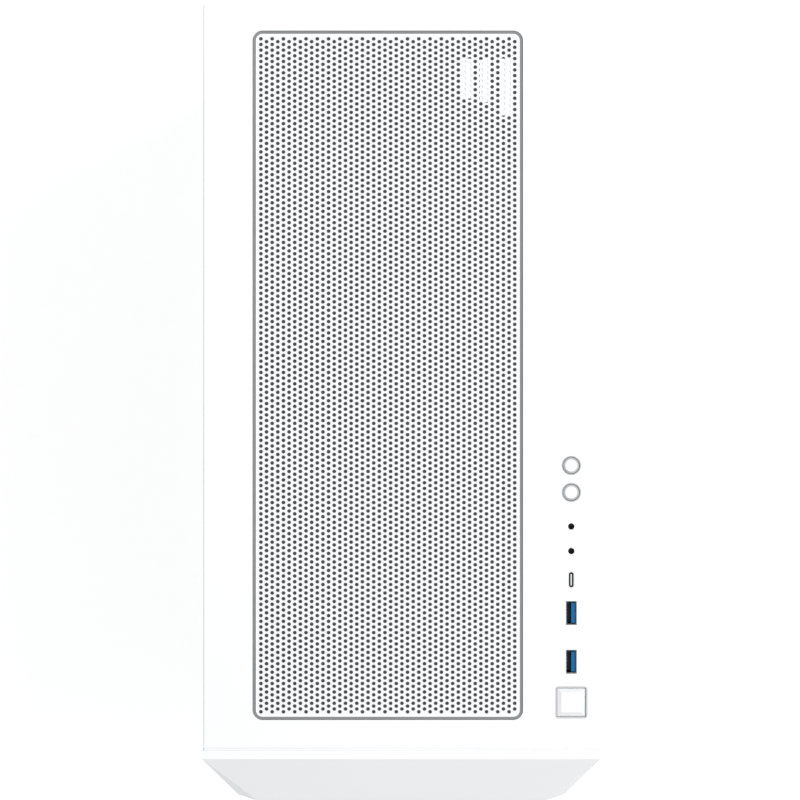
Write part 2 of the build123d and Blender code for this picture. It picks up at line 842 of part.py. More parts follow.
with BuildPart() as io_shield:
    block(
        (window_left + slip, window_right - slip),
        (inner_back_y, back_y),
        (window_bottom + slip, window_top - slip),
    )
    for below, length, height in port_stacks:
        middle_z = window_top - below
        block(
            (board_face_x - height - slip, board_face_x + slip),
            (inner_back_y, back_y),
            (middle_z - length / 2 - slip, middle_z + length / 2 + slip),
            Mode.SUBTRACT,
        )
save(io_shield, "io_shield")

lid_x = board_face_x - socket_thick
processor_x = lid_x - lid_thick
memory_rows = [processor_y - memory_first - k * memory_pitch for k in range(4)]
memory_x = board_face_x - memory_socket
memory_z = processor_z
long_slots = (card_slot, 4, 6)
power_plug_z = board_bottom + 0.57 * board_height
power_plug_y = board_front_y + 7.0

with BuildPart() as board_connectors:
    # processor socket, memory sockets, expansion slots, power and drive connectors
    block(
        (lid_x, board_face_x),
        (processor_y - 28.0, processor_y + 28.0),
        (processor_z - 32.0, processor_z + 32.0),
    )
    for row_y in memory_rows:
        block(
            (memory_x, board_face_x),
            (row_y - 3.5, row_y + 3.5),
            (memory_z - memory_size[1] / 2 - 5.0, memory_z + memory_size[1] / 2 + 5.0),
        )
    for number in long_slots:
        slot_z = slot_one_z - (number - 1) * slot_pitch
        block(
            (card_right_x, board_face_x),
            (board_rear_y - 57.0 - 89.0, board_rear_y - 57.0),
            (slot_z - 3.7, slot_z + 3.7),
        )
    block(
        (board_face_x - power_plug_size[0], board_face_x),
        (power_plug_y - power_plug_size[1] / 2, power_plug_y + power_plug_size[1] / 2),
        (power_plug_z - power_plug_size[2] / 2, power_plug_z + power_plug_size[2] / 2),
    )
    block(
        (board_face_x - 13.0, board_face_x),
        (board_rear_y - 50.0, board_rear_y - 30.0),
        (board_top - 11.0, board_top - 2.0),
    )
    block(
        (board_face_x - 14.0, board_face_x),
        (board_front_y + 1.0, board_front_y + 16.0),
        (board_bottom + 45.0, board_bottom + 85.0),
    )
save(board_connectors, "board_connectors")

with BuildPart() as processor:
    with BuildSketch(Plane.YZ.offset(processor_x)):
        with Locations((processor_y, processor_z)):
            RectangleRounded(processor_size, processor_size, 1.5)
    extrude(amount=lid_thick)
save(processor, "processor")

with BuildPart() as memory_modules:
    for row_y in memory_rows:
        block(
            (memory_x - memory_size[0], memory_x),
            (row_y - memory_size[2] / 2, row_y + memory_size[2] / 2),
            (memory_z - memory_size[1] / 2, memory_z + memory_size[1] / 2),
        )
save(memory_modules, "memory_modules")

with BuildPart() as board_heatsinks:
    # beside the rear ports, above the processor, over the drive slot and on the chipset
    block(
        (board_face_x - 24.0, board_face_x),
        (board_rear_y - 44.0, board_rear_y - 22.0),
        (processor_z - 45.0, processor_z + 58.0),
    )
    block(
        (board_face_x - 20.0, board_face_x),
        (processor_y - 36.0, board_rear_y - 54.0),
        (board_top - 30.0, board_top - 14.0),
    )
    block(
        (board_face_x - 5.0, board_face_x),
        (board_rear_y - 140.0, board_rear_y - 45.0),
        (slot_one_z + 4.0, slot_one_z + 26.0),
    )
    block(
        (board_face_x - 7.0, board_face_x),
        (board_front_y + 22.0, board_front_y + 82.0),
        (board_bottom + 28.0, board_bottom + 88.0),
    )
save(board_heatsinks, "board_heatsinks")

# ================================================================ processor cooler
base_x = processor_x - base_thick
fin_right = base_x - fin_gap
fin_left = fin_right - fin_length
pipe_x = processor_x - base_thick / 2
fin_slots = int(fin_length / fin_pitch) - 1

with BuildPart() as cooler_heatsink:
    block(
        (base_x, processor_x),
        (processor_y - base_size / 2, processor_y + base_size / 2),
        (processor_z - base_size / 2, processor_z + base_size / 2),
    )
    block(
        (fin_left, fin_right),
        (processor_y - fin_depth / 2, processor_y + fin_depth / 2),
        (processor_z - fan_size / 2, processor_z + fan_size / 2),
    )
    for k in range(fin_slots):
        slot_x = fin_left + (k + 1) * fin_pitch
        for side in (-1, 1):
            block(
                (slot_x, slot_x + fin_slot),
                sorted((processor_y + side * fin_web / 2, processor_y + side * fin_depth / 2)),
                (processor_z - fan_size / 2, processor_z + fan_size / 2),
                Mode.SUBTRACT,
            )
    for k, reach in enumerate((24.0, 42.0, 42.0, 24.0)):
        pipe_y = processor_y + (k - 1.5) * 9.5
        with BuildLine() as pipe_line:
            FilletPolyline(
                (fin_left + 4.0, pipe_y, processor_z - reach),
                (pipe_x, pipe_y, processor_z - reach),
                (pipe_x, pipe_y, processor_z + reach),
                (fin_left + 4.0, pipe_y, processor_z + reach),
                radius=9.0,
            )
        with BuildSketch(Plane(pipe_line.line @ 0, z_dir=pipe_line.line % 0)):
            Circle(pipe_radius)
        sweep(path=pipe_line.line)
save(cooler_heatsink, "cooler_heatsink")

cooler_fan_x = (fin_left + fin_right) / 2
make_fan("cooler_fan", fan_seat(cooler_fan_x, processor_y - fin_depth / 2, processor_z))

# ================================================================ graphics card
card_bracket_y = inner_back_y - 1.0
card_front_y = card_bracket_y - card_length
card_middle_y = (card_front_y + card_bracket_y - 18.0) / 2
card_left_x = card_right_x - card_height
cooler_bottom = card_under - card_thick
card_seat_z = cooler_bottom + card_fan_depth
card_fan_x = (card_left_x + card_right_x) / 2
card_fan_y = [card_middle_y + side * card_fan_pitch / 2 for side in (1, -1)]
bracket_height = slot_cover[1] + slot_pitch
bracket_z = card_z - slot_pitch / 2

with BuildPart() as graphics_board:
    block(
        (card_left_x, card_right_x),
        (card_front_y, card_bracket_y),
        (card_under, card_under + board_thick),
    )
save(graphics_board, "graphics_board")

with BuildPart() as graphics_bracket:
    with BuildSketch(facing_front(inner_back_y)):
        with Locations((slot_middle_x, bracket_z)):
            Rectangle(slot_cover[0], bracket_height)
        with Locations(slot_screw_points[card_slot - 1:card_slot + 1]):
            Circle(screw_radius + slip, mode=Mode.SUBTRACT)
    extrude(amount=1.0)
    for port_x in card_port_x:
        block(
            (slot_middle_x + port_x - 8.0, slot_middle_x + port_x + 8.0),
            (inner_back_y - 14.0, back_y),
            (card_under - 6.2, card_under - slip),
        )
save(graphics_bracket, "graphics_bracket")

with BuildPart() as graphics_cooler:
    block(
        (card_left_x - 12.0, card_right_x - 7.0),
        (card_front_y - 14.0, card_bracket_y - 16.0),
        (cooler_bottom, card_under),
    )
    fillet(graphics_cooler.edges().filter_by(Axis.Z), 6.0)
    for middle_y in card_fan_y:
        seat = Plane(origin=(card_fan_x, middle_y, card_seat_z), x_dir=(1, 0, 0), z_dir=(0, 0, -1))
        with BuildSketch(seat):
            Circle(card_fan_radius + 1.5)
        extrude(amount=card_fan_depth, mode=Mode.SUBTRACT)
        make_bearing(seat, card_fan_depth)
save(graphics_cooler, "graphics_cooler")

for name, middle_y in zip(("rear", "front"), card_fan_y):
    seat = Plane(origin=(card_fan_x, middle_y, card_seat_z), x_dir=(1, 0, 0), z_dir=(0, 0, -1))
    save(make_fan_rotor(seat, 1.0, card_fan_depth, card_fan_radius, 17.0), f"graphics_fan_{name}")

# ================================================================ power supply
psu_fan_y = (psu_front_y + inner_back_y) / 2
psu_fan_seat = Plane(
    origin=(psu_middle_x, psu_fan_y, psu_bottom + psu_fan_depth), x_dir=(1, 0, 0), z_dir=(0, 0, -1)
)
inlet_x = psu_middle_x + 42.0
inlet_z = psu_middle_z + 18.0
rocker_x = psu_middle_x + 42.0
rocker_z = psu_middle_z - 12.0
rocker_tilt = radians(8.0)
rocker_pivot_y = inner_back_y - 3.0

with BuildPart() as power_supply:
    block((psu_left_x, psu_right_x), (psu_front_y, inner_back_y), (psu_bottom, psu_bottom + psu_height))
    with BuildSketch(psu_fan_seat):
        Circle(psu_fan_radius + 1.5)
    extrude(amount=psu_fan_depth, mode=Mode.SUBTRACT)
    make_bearing(psu_fan_seat, psu_fan_depth)
    with BuildSketch(facing_front(inner_back_y)):
        with Locations((inlet_x, inlet_z)):
            Rectangle(*inlet_size)
    extrude(amount=inlet_depth - sheet, mode=Mode.SUBTRACT)
    with BuildSketch(facing_front(inner_back_y)):
        with Locations((rocker_x, rocker_z)):
            Rectangle(rocker_size[0] + 2 * fit, rocker_size[1] + 5.0)
    extrude(amount=11.0, mode=Mode.SUBTRACT)
    with BuildSketch(Plane.YZ.offset(rocker_x)):
        with Locations((rocker_pivot_y, rocker_z)):
            Circle(rocker_pin + slip)
    extrude(amount=rocker_size[0] / 2 + 2.0, both=True, mode=Mode.SUBTRACT)
    with Locations([Location((x, inner_back_y, z), (-90, 0, 0)) for x, z in psu_screw_points]):
        Hole(radius=screw_radius + slip, depth=2.0)
save(power_supply, "power_supply")

save(make_fan_rotor(psu_fan_seat, 1.0, psu_fan_depth, psu_fan_radius, hub_radius), "psu_fan_rotor")

with BuildPart() as power_inlet:
    with BuildSketch(facing_front(back_y)):
        with Locations((inlet_x, inlet_z)):
            Rectangle(*inlet_size)
    extrude(amount=inlet_depth)
    with BuildSketch(facing_front(back_y)):
        with Locations((inlet_x, inlet_z)):
            RectangleRounded(*inlet_cavity, 2.0)
    extrude(amount=inlet_depth - 3.0, mode=Mode.SUBTRACT)
    # three flat contacts standing in the cavity
    with BuildSketch(facing_front(back_y - 3.0)):
        with Locations(
            (inlet_x - 7.0, inlet_z - 2.0), (inlet_x + 7.0, inlet_z - 2.0), (inlet_x, inlet_z - 5.5)
        ):
            Rectangle(2.0, 4.0)
    extrude(amount=inlet_depth - 4.0)
save(power_inlet, "power_inlet")

with BuildPart() as psu_switch:
    rocker_plane = Plane(
        origin=(rocker_x, rocker_pivot_y, rocker_z),
        x_dir=(0, cos(rocker_tilt), sin(rocker_tilt)),
        z_dir=(1, 0, 0),
    )
    reach = rocker_size[1] / 2
    with BuildSketch(rocker_plane):
        Polygon((-4, -reach), (3.6, -reach), (2.0, 0), (3.6, reach), (-4, reach), align=None)
    extrude(amount=rocker_size[0] / 2, both=True)
    with BuildSketch(Plane.YZ.offset(rocker_x)):
        with Locations((rocker_pivot_y, rocker_z)):
            Circle(rocker_pin)
    extrude(amount=rocker_size[0] / 2 + 1.8, both=True)
save(psu_switch, "psu_switch")

# ================================================================ drives
cage_middle_y = (shroud_front_y + psu_front_y) / 2 - 62.0
drive_half = drive_size[1] / 2
drive_left_x = psu_left_x + 10.0
drive_bottom = floor_top + 6.0
cage_top = drive_bottom + drive_pitch + drive_size[2] + 6.0

with BuildPart() as drive_cage:
    for side in (-1, 1):
        inner = cage_middle_y + side * (drive_half + slip)
        block(
            (drive_left_x, drive_left_x + drive_size[0]),
            sorted((inner, inner + side * sheet)),
            (floor_top, cage_top),
        )
    block(
        (drive_left_x, drive_left_x + drive_size[0]),
        (cage_middle_y - drive_half - slip - sheet, cage_middle_y + drive_half + slip + sheet),
        (cage_top, cage_top + sheet),
    )
save(drive_cage, "drive_cage")

with BuildPart() as hard_drives:
    for k in range(2):
        low = drive_bottom + k * drive_pitch
        block(
            (drive_left_x, drive_left_x + drive_size[0]),
            (cage_middle_y - drive_half, cage_middle_y + drive_half),
            (low, low + drive_size[2]),
        )
save(hard_drives, "hard_drives")

# ================================================================ main power cable
cable_back_x = tray_back_x + 9.0
plug_face_x = board_face_x - power_plug_size[0]
loop_x = plug_face_x - 30.0
psu_exit = (psu_right_x - 30.0, psu_front_y, psu_middle_z)
cable_route = [
    psu_exit,
    (psu_exit[0], psu_front_y - 45.0, psu_middle_z),
    (cable_back_x, (psu_front_y - 45.0 + cable_hole_y) / 2, psu_middle_z + 6.0),
    (cable_back_x, cable_hole_y, shroud_top + 60.0),
    (cable_back_x, cable_hole_y, power_plug_z - 40.0),
    (cable_back_x - 2.0, cable_hole_y, power_plug_z),
    (loop_x, cable_hole_y, power_plug_z),
    (loop_x, power_plug_y, power_plug_z),
    (plug_face_x, power_plug_y, power_plug_z),
]

with BuildPart() as main_power_cable:
    with BuildLine() as cable_line:
        FilletPolyline(*cable_route, radius=cable_bends)
    with BuildSketch(Plane(cable_line.line @ 0, z_dir=cable_line.line % 0)):
        Circle(cable_radius)
    sweep(path=cable_line.line)
save(main_power_cable, "main_power_cable")
print("arcs of the main power cable, mm:", cable_bends)

# ================================================================ glass door
panel_front_y = seam_y + panel_gap * 2
panel_low = floor_z + 2.0
panel_high = deck_z - panel_gap
glass_back = -half_width + glass_thick
lug_heights = (panel_low + 45.0, panel_high - 60.0)
hinge_line = [Plane(origin=(hinge_x, hinge_y, z), x_dir=(1, 0, 0), z_dir=(0, 0, 1)) for z in lug_heights]

with BuildPart() as glass_panel:
    with BuildSketch(Plane.YZ.offset(-half_width)):
        with Locations(((panel_front_y + back_y) / 2, (panel_low + panel_high) / 2)):
            RectangleRounded(back_y - panel_front_y, panel_high - panel_low, 3.0)
    extrude(amount=glass_thick)
save(glass_panel, "glass_panel")

with BuildPart() as glass_hinge_frame:
    block(
        (glass_back, glass_back + leaf_thick),
        (back_y - leaf_width, back_y),
        (panel_low + 4.0, panel_high - 4.0),
    )
    for seat in hinge_line:
        knuckle_seat = seat.offset(slip)
        with BuildSketch(knuckle_seat):
            Circle(knuckle_radius)
        extrude(amount=knuckle_length)
        with BuildSketch(knuckle_seat):
            with Locations((glass_back + leaf_thick / 2 - hinge_x, (back_y - hinge_y) / 2)):
                Rectangle(leaf_thick, hinge_y - back_y + 2.0)
        extrude(amount=knuckle_length)
        with BuildSketch(knuckle_seat):
            Circle(pin_radius + slip)
        extrude(amount=knuckle_length, mode=Mode.SUBTRACT)
save(glass_hinge_frame, "glass_hinge_frame")

with BuildPart() as hinge_pins:
    for seat in hinge_line:
        block(
            (hinge_x, hinge_x + lug_length),
            (back_y, hinge_y + knuckle_radius),
            (seat.origin.Z - lug_height, seat.origin.Z),
        )
        with BuildSketch(seat):
            Circle(knuckle_radius)
        extrude(amount=-lug_height)
        with BuildSketch(seat):
            Circle(pin_radius)
        extrude(amount=knuckle_length)
save(hinge_pins, "hinge_pins")

# ================================================================ steel side panel
rear_flange_x = chassis_half - 11.0
with BuildPart() as steel_side_panel:
    block((half_width - panel_flange, half_width), (panel_front_y, back_y), (panel_low, panel_high))
    block(
        (half_width - panel_flange, half_width - panel_skin),
        (panel_front_y + panel_skin, back_y - panel_skin),
        (panel_low + panel_skin, panel_high - panel_skin),
        Mode.SUBTRACT,
    )
    block((rear_flange_x, half_width), (back_y, back_y + panel_skin), (panel_low, panel_high))
    with BuildSketch(facing_front(back_y + panel_skin)):
        with Locations([(thumb_x, z) for z in thumb_heights]):
            Circle(thumb_shank + slip)
    extrude(amount=panel_skin, mode=Mode.SUBTRACT)
save(steel_side_panel, "steel_side_panel")

with BuildPart() as thumbscrews:
    with BuildSketch(facing_front(back_y + rear_proud)):
        with Locations([(thumb_x, z) for z in thumb_heights]):
            Circle(thumb_radius)
    extrude(amount=rear_proud - panel_skin)
    with BuildSketch(facing_front(back_y + panel_skin)):
        with Locations([(thumb_x, z) for z in thumb_heights]):
            Circle(thumb_shank)
    extrude(amount=panel_skin + sheet + 4.0)
save(thumbscrews, "thumbscrews")

# ================================================================ slot covers and rear screws
open_slots = [k for k in range(slot_count) if k + 1 not in (card_slot, card_slot + 1)]

with BuildPart() as slot_covers:
    with BuildSketch(facing_front(inner_back_y)):
        with Locations([(slot_middle_x, slot_heights[k]) for k in open_slots]):
            Rectangle(*slot_cover)
        with Locations([slot_screw_points[k] for k in open_slots]):
            Circle(screw_radius + slip, mode=Mode.SUBTRACT)
    extrude(amount=cover_thick)
save(slot_covers, "slot_covers")

with BuildPart() as rear_screws:
    with BuildSketch(facing_front(back_y + screw_head_height)):
        with Locations(rear_screw_points):
            Circle(screw_head)
    extrude(amount=screw_head_height)
    with BuildSketch(facing_front(back_y)):
        with Locations(rear_screw_points):
            Circle(screw_radius)
    extrude(amount=sheet + cover_thick)
save(rear_screws, "rear_screws")
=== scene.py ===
import bpy, bmesh, json, math, random
import numpy as np
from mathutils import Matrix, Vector
from mathutils.geometry import delaunay_2d_cdt


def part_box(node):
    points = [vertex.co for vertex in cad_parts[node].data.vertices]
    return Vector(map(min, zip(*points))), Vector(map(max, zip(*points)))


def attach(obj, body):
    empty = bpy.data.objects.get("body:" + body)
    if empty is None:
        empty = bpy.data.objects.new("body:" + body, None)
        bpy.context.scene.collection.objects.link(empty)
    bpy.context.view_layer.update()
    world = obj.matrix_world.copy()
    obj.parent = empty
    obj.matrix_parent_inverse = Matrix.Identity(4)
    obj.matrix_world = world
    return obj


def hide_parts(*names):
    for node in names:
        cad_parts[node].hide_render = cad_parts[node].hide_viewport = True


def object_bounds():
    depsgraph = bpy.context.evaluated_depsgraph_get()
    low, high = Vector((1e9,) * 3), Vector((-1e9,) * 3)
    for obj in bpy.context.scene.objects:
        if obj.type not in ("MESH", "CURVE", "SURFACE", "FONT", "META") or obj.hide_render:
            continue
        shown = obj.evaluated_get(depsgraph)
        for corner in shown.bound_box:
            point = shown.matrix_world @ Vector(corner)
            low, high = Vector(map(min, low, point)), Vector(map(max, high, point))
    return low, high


# A white desktop computer tower around its CAD frame. Metres, +Z up, the front faces -Y.

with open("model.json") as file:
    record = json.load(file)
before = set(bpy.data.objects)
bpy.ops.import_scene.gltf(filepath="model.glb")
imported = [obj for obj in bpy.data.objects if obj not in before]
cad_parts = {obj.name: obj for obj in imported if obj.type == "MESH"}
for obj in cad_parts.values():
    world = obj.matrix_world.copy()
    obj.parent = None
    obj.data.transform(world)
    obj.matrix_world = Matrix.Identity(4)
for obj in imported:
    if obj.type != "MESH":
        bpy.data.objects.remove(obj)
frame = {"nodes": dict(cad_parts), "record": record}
cad_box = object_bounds()
NODES = frame["nodes"]
MM = 0.001
chance = random.Random(7)
scene = bpy.context.scene

# ================================================================ materials
WHITE = (0.86, 0.865, 0.87)
MATERIALS = {}


class Surface:
    """A Principled material whose colour, roughness and bump come from procedural nodes."""

    def __init__(self, name, metallic=0.0, specular=0.5):
        self.material = bpy.data.materials.new(name)
        self.material.use_nodes = True
        self.tree = self.material.node_tree
        self.shader = self.tree.nodes["Principled BSDF"]
        self.shader.inputs["Metallic"].default_value = metallic
        self.shader.inputs["Specular IOR Level"].default_value = specular
        self.place = self.tree.nodes.new("ShaderNodeTexCoord").outputs["Object"]
        self.normal = None
        MATERIALS[name] = self.material

    def node(self, kind, settings=None, **links):
        made = self.tree.nodes.new(kind)
        for key, value in (settings or {}).items():
            if key in made.inputs:
                made.inputs[key].default_value = value
            else:
                setattr(made, key, value)
        for key, link in links.items():
            self.tree.links.new(link, made.inputs[key.replace("_", " ")])
        return made

    def noise(self, scale, detail=2.0, stretch=(1, 1, 1)):
        """Noise over the object's own coordinates, in features per metre."""
        moved = self.node("ShaderNodeMapping", {"Scale": stretch}, Vector=self.place)
        made = self.node("ShaderNodeTexNoise", {"Scale": scale, "Detail": detail}, Vector=moved.outputs[0])
        return made.outputs["Fac"]

    def voronoi(self, scale, feature="F1"):
        made = self.node("ShaderNodeTexVoronoi", {"Scale": scale, "feature": feature}, Vector=self.place)
        return made.outputs["Distance"]

    def ramp(self, factor, stops):
        made = self.node("ShaderNodeValToRGB", None, Fac=factor)
        elements = made.color_ramp.elements
        while len(elements) < len(stops):
            elements.new(0.5)
        for element, (position, colour) in zip(elements, stops):
            element.position = position
            element.color = (*colour, 1.0) if len(colour) == 3 else colour
        return made.outputs["Color"]

    def mix(self, factor, first, second):
        """Blend of two colours, each a plain colour or a link."""
        made = self.node("ShaderNodeMix", {"data_type": "RGBA"})
        for index, value in ((0, factor), (6, first), (7, second)):
            if isinstance(value, tuple):
                made.inputs[index].default_value = (*value, 1)
            else:
                self.tree.links.new(value, made.inputs[index])
        return made.outputs[2]

    def colour(self, link):
        self.tree.links.new(link, self.shader.inputs["Base Color"])
        return self

    def roughness(self, factor, low, high):
        made = self.node("ShaderNodeMapRange", {"To Min": low, "To Max": high}, Value=factor)
        self.tree.links.new(made.outputs["Result"], self.shader.inputs["Roughness"])
        return self

    def bump(self, height, distance, strength=1.0):
        settings = {"Strength": strength, "Distance": distance}
        links = {"Height": height}
        if self.normal:
            links["Normal"] = self.normal
        self.normal = self.node("ShaderNodeBump", settings, **links).outputs["Normal"]
        self.tree.links.new(self.normal, self.shader.inputs["Normal"])
        return self


def shades(base, spread):
    """A darker and a lighter version of one colour."""
    return [(0.3, [c * (1 - spread) for c in base]), (0.7, [min(1.0, c * (1 + spread)) for c in base])]


def coated(name, base, low=0.38, high=0.5, grain=2600.0, depth=0.00002, spread=0.012):
    """Powder coat or moulded plastic: fine texture, faint unevenness of tone and gloss."""
    made = Surface(name)
    made.colour(made.ramp(made.noise(9.0, 3.0), shades(base, spread)))
    made.roughness(made.noise(40.0, 4.0), low, high)
    made.bump(made.noise(grain, 3.0), depth, 0.6)
    return made.material


def metal(name, base, low, high, stretch=(1, 1, 60), depth=0.00001):
    """Bare metal with a fine brushed or stamped grain along one direction."""
    made = Surface(name, metallic=1.0)
    grain = made.noise(300.0, 4.0, stretch)
    made.colour(made.ramp(grain, shades(base, 0.06)))
    made.roughness(grain, low, high)
    made.bump(grain, depth, 0.5)
    return made.material


def circuit_board(name, base, copper):
    """Solder mask over copper: tracks as thin lines of raised, slightly lighter mask, and small pads."""
    made = Surface(name)
    cells = made.voronoi(95.0, "DISTANCE_TO_EDGE")
    tracks = made.ramp(cells, [(0.0, (1, 1, 1)), (0.035, (0, 0, 0))])
    pads = made.ramp(made.voronoi(420.0), [(0.10, (1, 1, 1)), (0.14, (0, 0, 0))])
    mask = made.mix(tracks, base, tuple(c * 2.2 + 0.01 for c in base))
    dim = made.node("ShaderNodeMath", {"operation": "MULTIPLY"})
    dim.inputs[1].default_value = 0.35
    made.tree.links.new(pads, dim.inputs[0])
    made.colour(made.mix(dim.outputs[0], mask, copper))
    made.roughness(made.noise(60.0), 0.28, 0.42)
    made.bump(tracks, 0.00004, 0.6)
    return made.material


def clear_glass(name):
    """Lightly smoked tempered glass that lets the light through to the parts behind it."""
    made = Surface(name)
    made.colour(made.ramp(made.noise(3.0), [(0.3, (0.10, 0.12, 0.12)), (0.7, (0.12, 0.14, 0.138))]))
    made.roughness(made.noise(20.0), 0.0, 0.03)
    made.shader.inputs["Alpha"].default_value = 0.13
    made.shader.inputs["Specular IOR Level"].default_value = 1.0
    made.material.surface_render_method = "BLENDED"
    return made.material


def sleeved(name, base):
    """Braided cable sleeve."""
    made = Surface(name)
    settings = {"Scale": 900.0, "Distortion": 2.0, "Detail": 1.0}
    weave = made.node("ShaderNodeTexWave", settings, Vector=made.place).outputs["Fac"]
    made.colour(made.ramp(weave, shades(base, 0.10)))
    made.roughness(weave, 0.5, 0.7)
    made.bump(weave, 0.0001, 0.8)
    return made.material


def shaded_below(name, base, inner, level, low=0.3, high=0.45):
    """Moulded or plated piece painted near black below a height: painted shade inside a socket's opening."""
    made = Surface(name)
    place = made.node("ShaderNodeSeparateXYZ", None, Vector=made.place)
    above = made.node("ShaderNodeMath", {"operation": "GREATER_THAN"})
    above.inputs[1].default_value = level
    made.tree.links.new(place.outputs["Z"], above.inputs[0])
    tone = made.ramp(made.noise(60.0), shades(base, 0.02))
    # below the level the inner colour is painted shade, not the piece's own colour
    made.colour(made.mix(above.outputs[0], inner, tone))
    made.roughness(made.noise(40.0), low, high)
    made.bump(made.noise(900.0), 0.000006, 0.5)
    return made.material


def slope_shaded(name, flat, steep_shade):
    """Moulded satin piece whose sloping faces are painted darker the steeper they slope: painted shade on the
    edges.
    """
    made = Surface(name)
    geometry = made.node("ShaderNodeNewGeometry")
    place = made.node("ShaderNodeSeparateXYZ", None, Vector=geometry.outputs["True Normal"])
    between = [(a + b) / 2 for a, b in zip(flat, steep_shade)]
    # colour from the slope of each face: painted shade where faces tilt away from the top
    made.colour(made.ramp(place.outputs["Z"], [(0.6, steep_shade), (0.85, between), (0.97, flat)]))
    made.roughness(made.noise(40.0), 0.25, 0.35)
    made.bump(made.noise(900.0), 0.000006, 0.5)
    return made.material


# white buttons, with painted shade on their sloping edges
slope_shaded("button_white_shaded_slopes", (0.88, 0.885, 0.89), (0.36, 0.365, 0.37))
# jacks and ports are painted near black below this height, as painted shade in their openings
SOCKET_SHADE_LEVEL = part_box("audio_jacks")[1][2] - 0.5 * MM
shaded_below("jack_white_socket_shade", (0.84, 0.845, 0.85), (0.004, 0.004, 0.004), SOCKET_SHADE_LEVEL)
shaded_below("port_plated_socket_shade", (0.62, 0.62, 0.63), (0.006, 0.006, 0.008), SOCKET_SHADE_LEVEL)
coated("white_coat", WHITE)
coated("white_inside", (0.80, 0.80, 0.81))
coated("white_moulded", WHITE, 0.42, 0.55, 1800.0, 0.00003)
coated("satin_grey", (0.50, 0.505, 0.51), 0.3, 0.4)
coated("black_moulded", (0.016, 0.016, 0.018), 0.42, 0.55, 2600.0, 0.000008, 0.06)
coated("black_gloss", (0.010, 0.010, 0.012), 0.12, 0.22, 900.0, 0.000006, 0.1)
coated("graphite", (0.050, 0.052, 0.056), 0.38, 0.48, 2600.0, 0.000006, 0.05)
coated("psu_coat", (0.022, 0.022, 0.024), 0.5, 0.7, 1400.0, 0.00008, 0.1)
coated("rubber", (0.025, 0.025, 0.025), 0.7, 0.9, 1200.0, 0.00005, 0.1)
coated("usb_blue", (0.002, 0.13, 0.34), 0.45, 0.55, 900.0, 0.00001, 0.06)
blue_shader = MATERIALS["usb_blue"].node_tree.nodes["Principled BSDF"]
blue_shader.inputs["Specular IOR Level"].default_value = 0.1
# grey of the gasket round the filter, also painted shade for the gap
coated("gasket_grey_and_gap_shade", (0.225, 0.23, 0.235), 0.6, 0.75, 1400.0, 0.00002, 0.03)
coated("ground_glass", (0.70, 0.72, 0.72), 0.5, 0.65, 1800.0, 0.00001, 0.02)
coated("sheet_white", (0.80, 0.805, 0.81))
# near-black filter net, also painted shade for the dark inside of the case
coated("net_black_and_shade", (0.05, 0.051, 0.053), 0.6, 0.8, 1400.0, 0.00001, 0.1)
coated("chip", (0.02, 0.02, 0.022), 0.35, 0.5, 1500.0, 0.00001, 0.1)
coated("white_spreader", (0.80, 0.80, 0.81), 0.3, 0.42, 900.0, 0.000008)
coated("capacitor", (0.10, 0.10, 0.11), 0.25, 0.4, 900.0, 0.00001, 0.1)
metal("bright_steel", (0.72, 0.72, 0.73), 0.22, 0.36)
metal("nickel", (0.70, 0.69, 0.66), 0.18, 0.3, (40, 1, 1))
metal("fin_aluminium", (0.78, 0.79, 0.80), 0.25, 0.4, (1, 1, 40))
metal("cast_aluminium", (0.62, 0.63, 0.65), 0.35, 0.5, (1, 1, 1), 0.00003)
metal("copper_nickel", (0.72, 0.70, 0.68), 0.12, 0.22, (1, 1, 1), 0.000005)
metal("gold", (0.85, 0.62, 0.22), 0.2, 0.3, (1, 1, 1), 0.000004)
metal("brass", (0.72, 0.53, 0.24), 0.25, 0.35, (1, 1, 1))
circuit_board("board_black", (0.008, 0.009, 0.011), (0.45, 0.33, 0.14))
circuit_board("board_green", (0.01, 0.07, 0.035), (0.6, 0.45, 0.2))
clear_glass("glass")
sleeved("white_sleeve", (0.80, 0.80, 0.80))

# ================================================================ mesh tools
AXES = {"X": (1, 2, 0), "Y": (0, 2, 1), "Z": (0, 1, 2)}


def lift(points, level, axis):
    """Points of a sketch as 3-D points on the plane across that axis, at that level."""
    u, v, w = AXES[axis]
    out = np.zeros((len(points), 3))
    out[:, u] = [p[0] for p in points]
    out[:, v] = [p[1] for p in points]
    out[:, w] = level
    return out


def add_object(name, mesh, materials, body, replaces=()):
    """Link a mesh as a piece of the object that rides on a body."""
    made = bpy.data.objects.new(name, mesh)
    scene.collection.objects.link(made)
    for material in materials:
        mesh.materials.append(MATERIALS[material])
    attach(made, body)
    if replaces:
        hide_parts(*replaces)
    return made


def smooth(mesh, angle=35.0):
    """Shade smooth, with creases kept where faces meet at more than the angle."""
    mesh.polygons.foreach_set("use_smooth", [True] * len(mesh.polygons))
    mesh.set_sharp_from_angle(angle=math.radians(angle))


def thicken(points, faces, low, high, axis):
    """Close a flat layout of faces into a plate: two skins, and a wall along every free edge."""
    flat = np.asarray(points, float)
    count = len(flat)
    verts = np.vstack([lift(flat, low, axis), lift(flat, high, axis)])
    edges = {}
    for face in faces:
        for a, b in zip(face, face[1:] + face[:1]):
            edges[(a, b)] = True
    walls = [(b, a, a + count, b + count) for a, b in edges if (b, a) not in edges]
    top = [tuple(i + count for i in face) for face in faces]
    under = [tuple(reversed(face)) for face in faces]
    return verts, top + under + walls


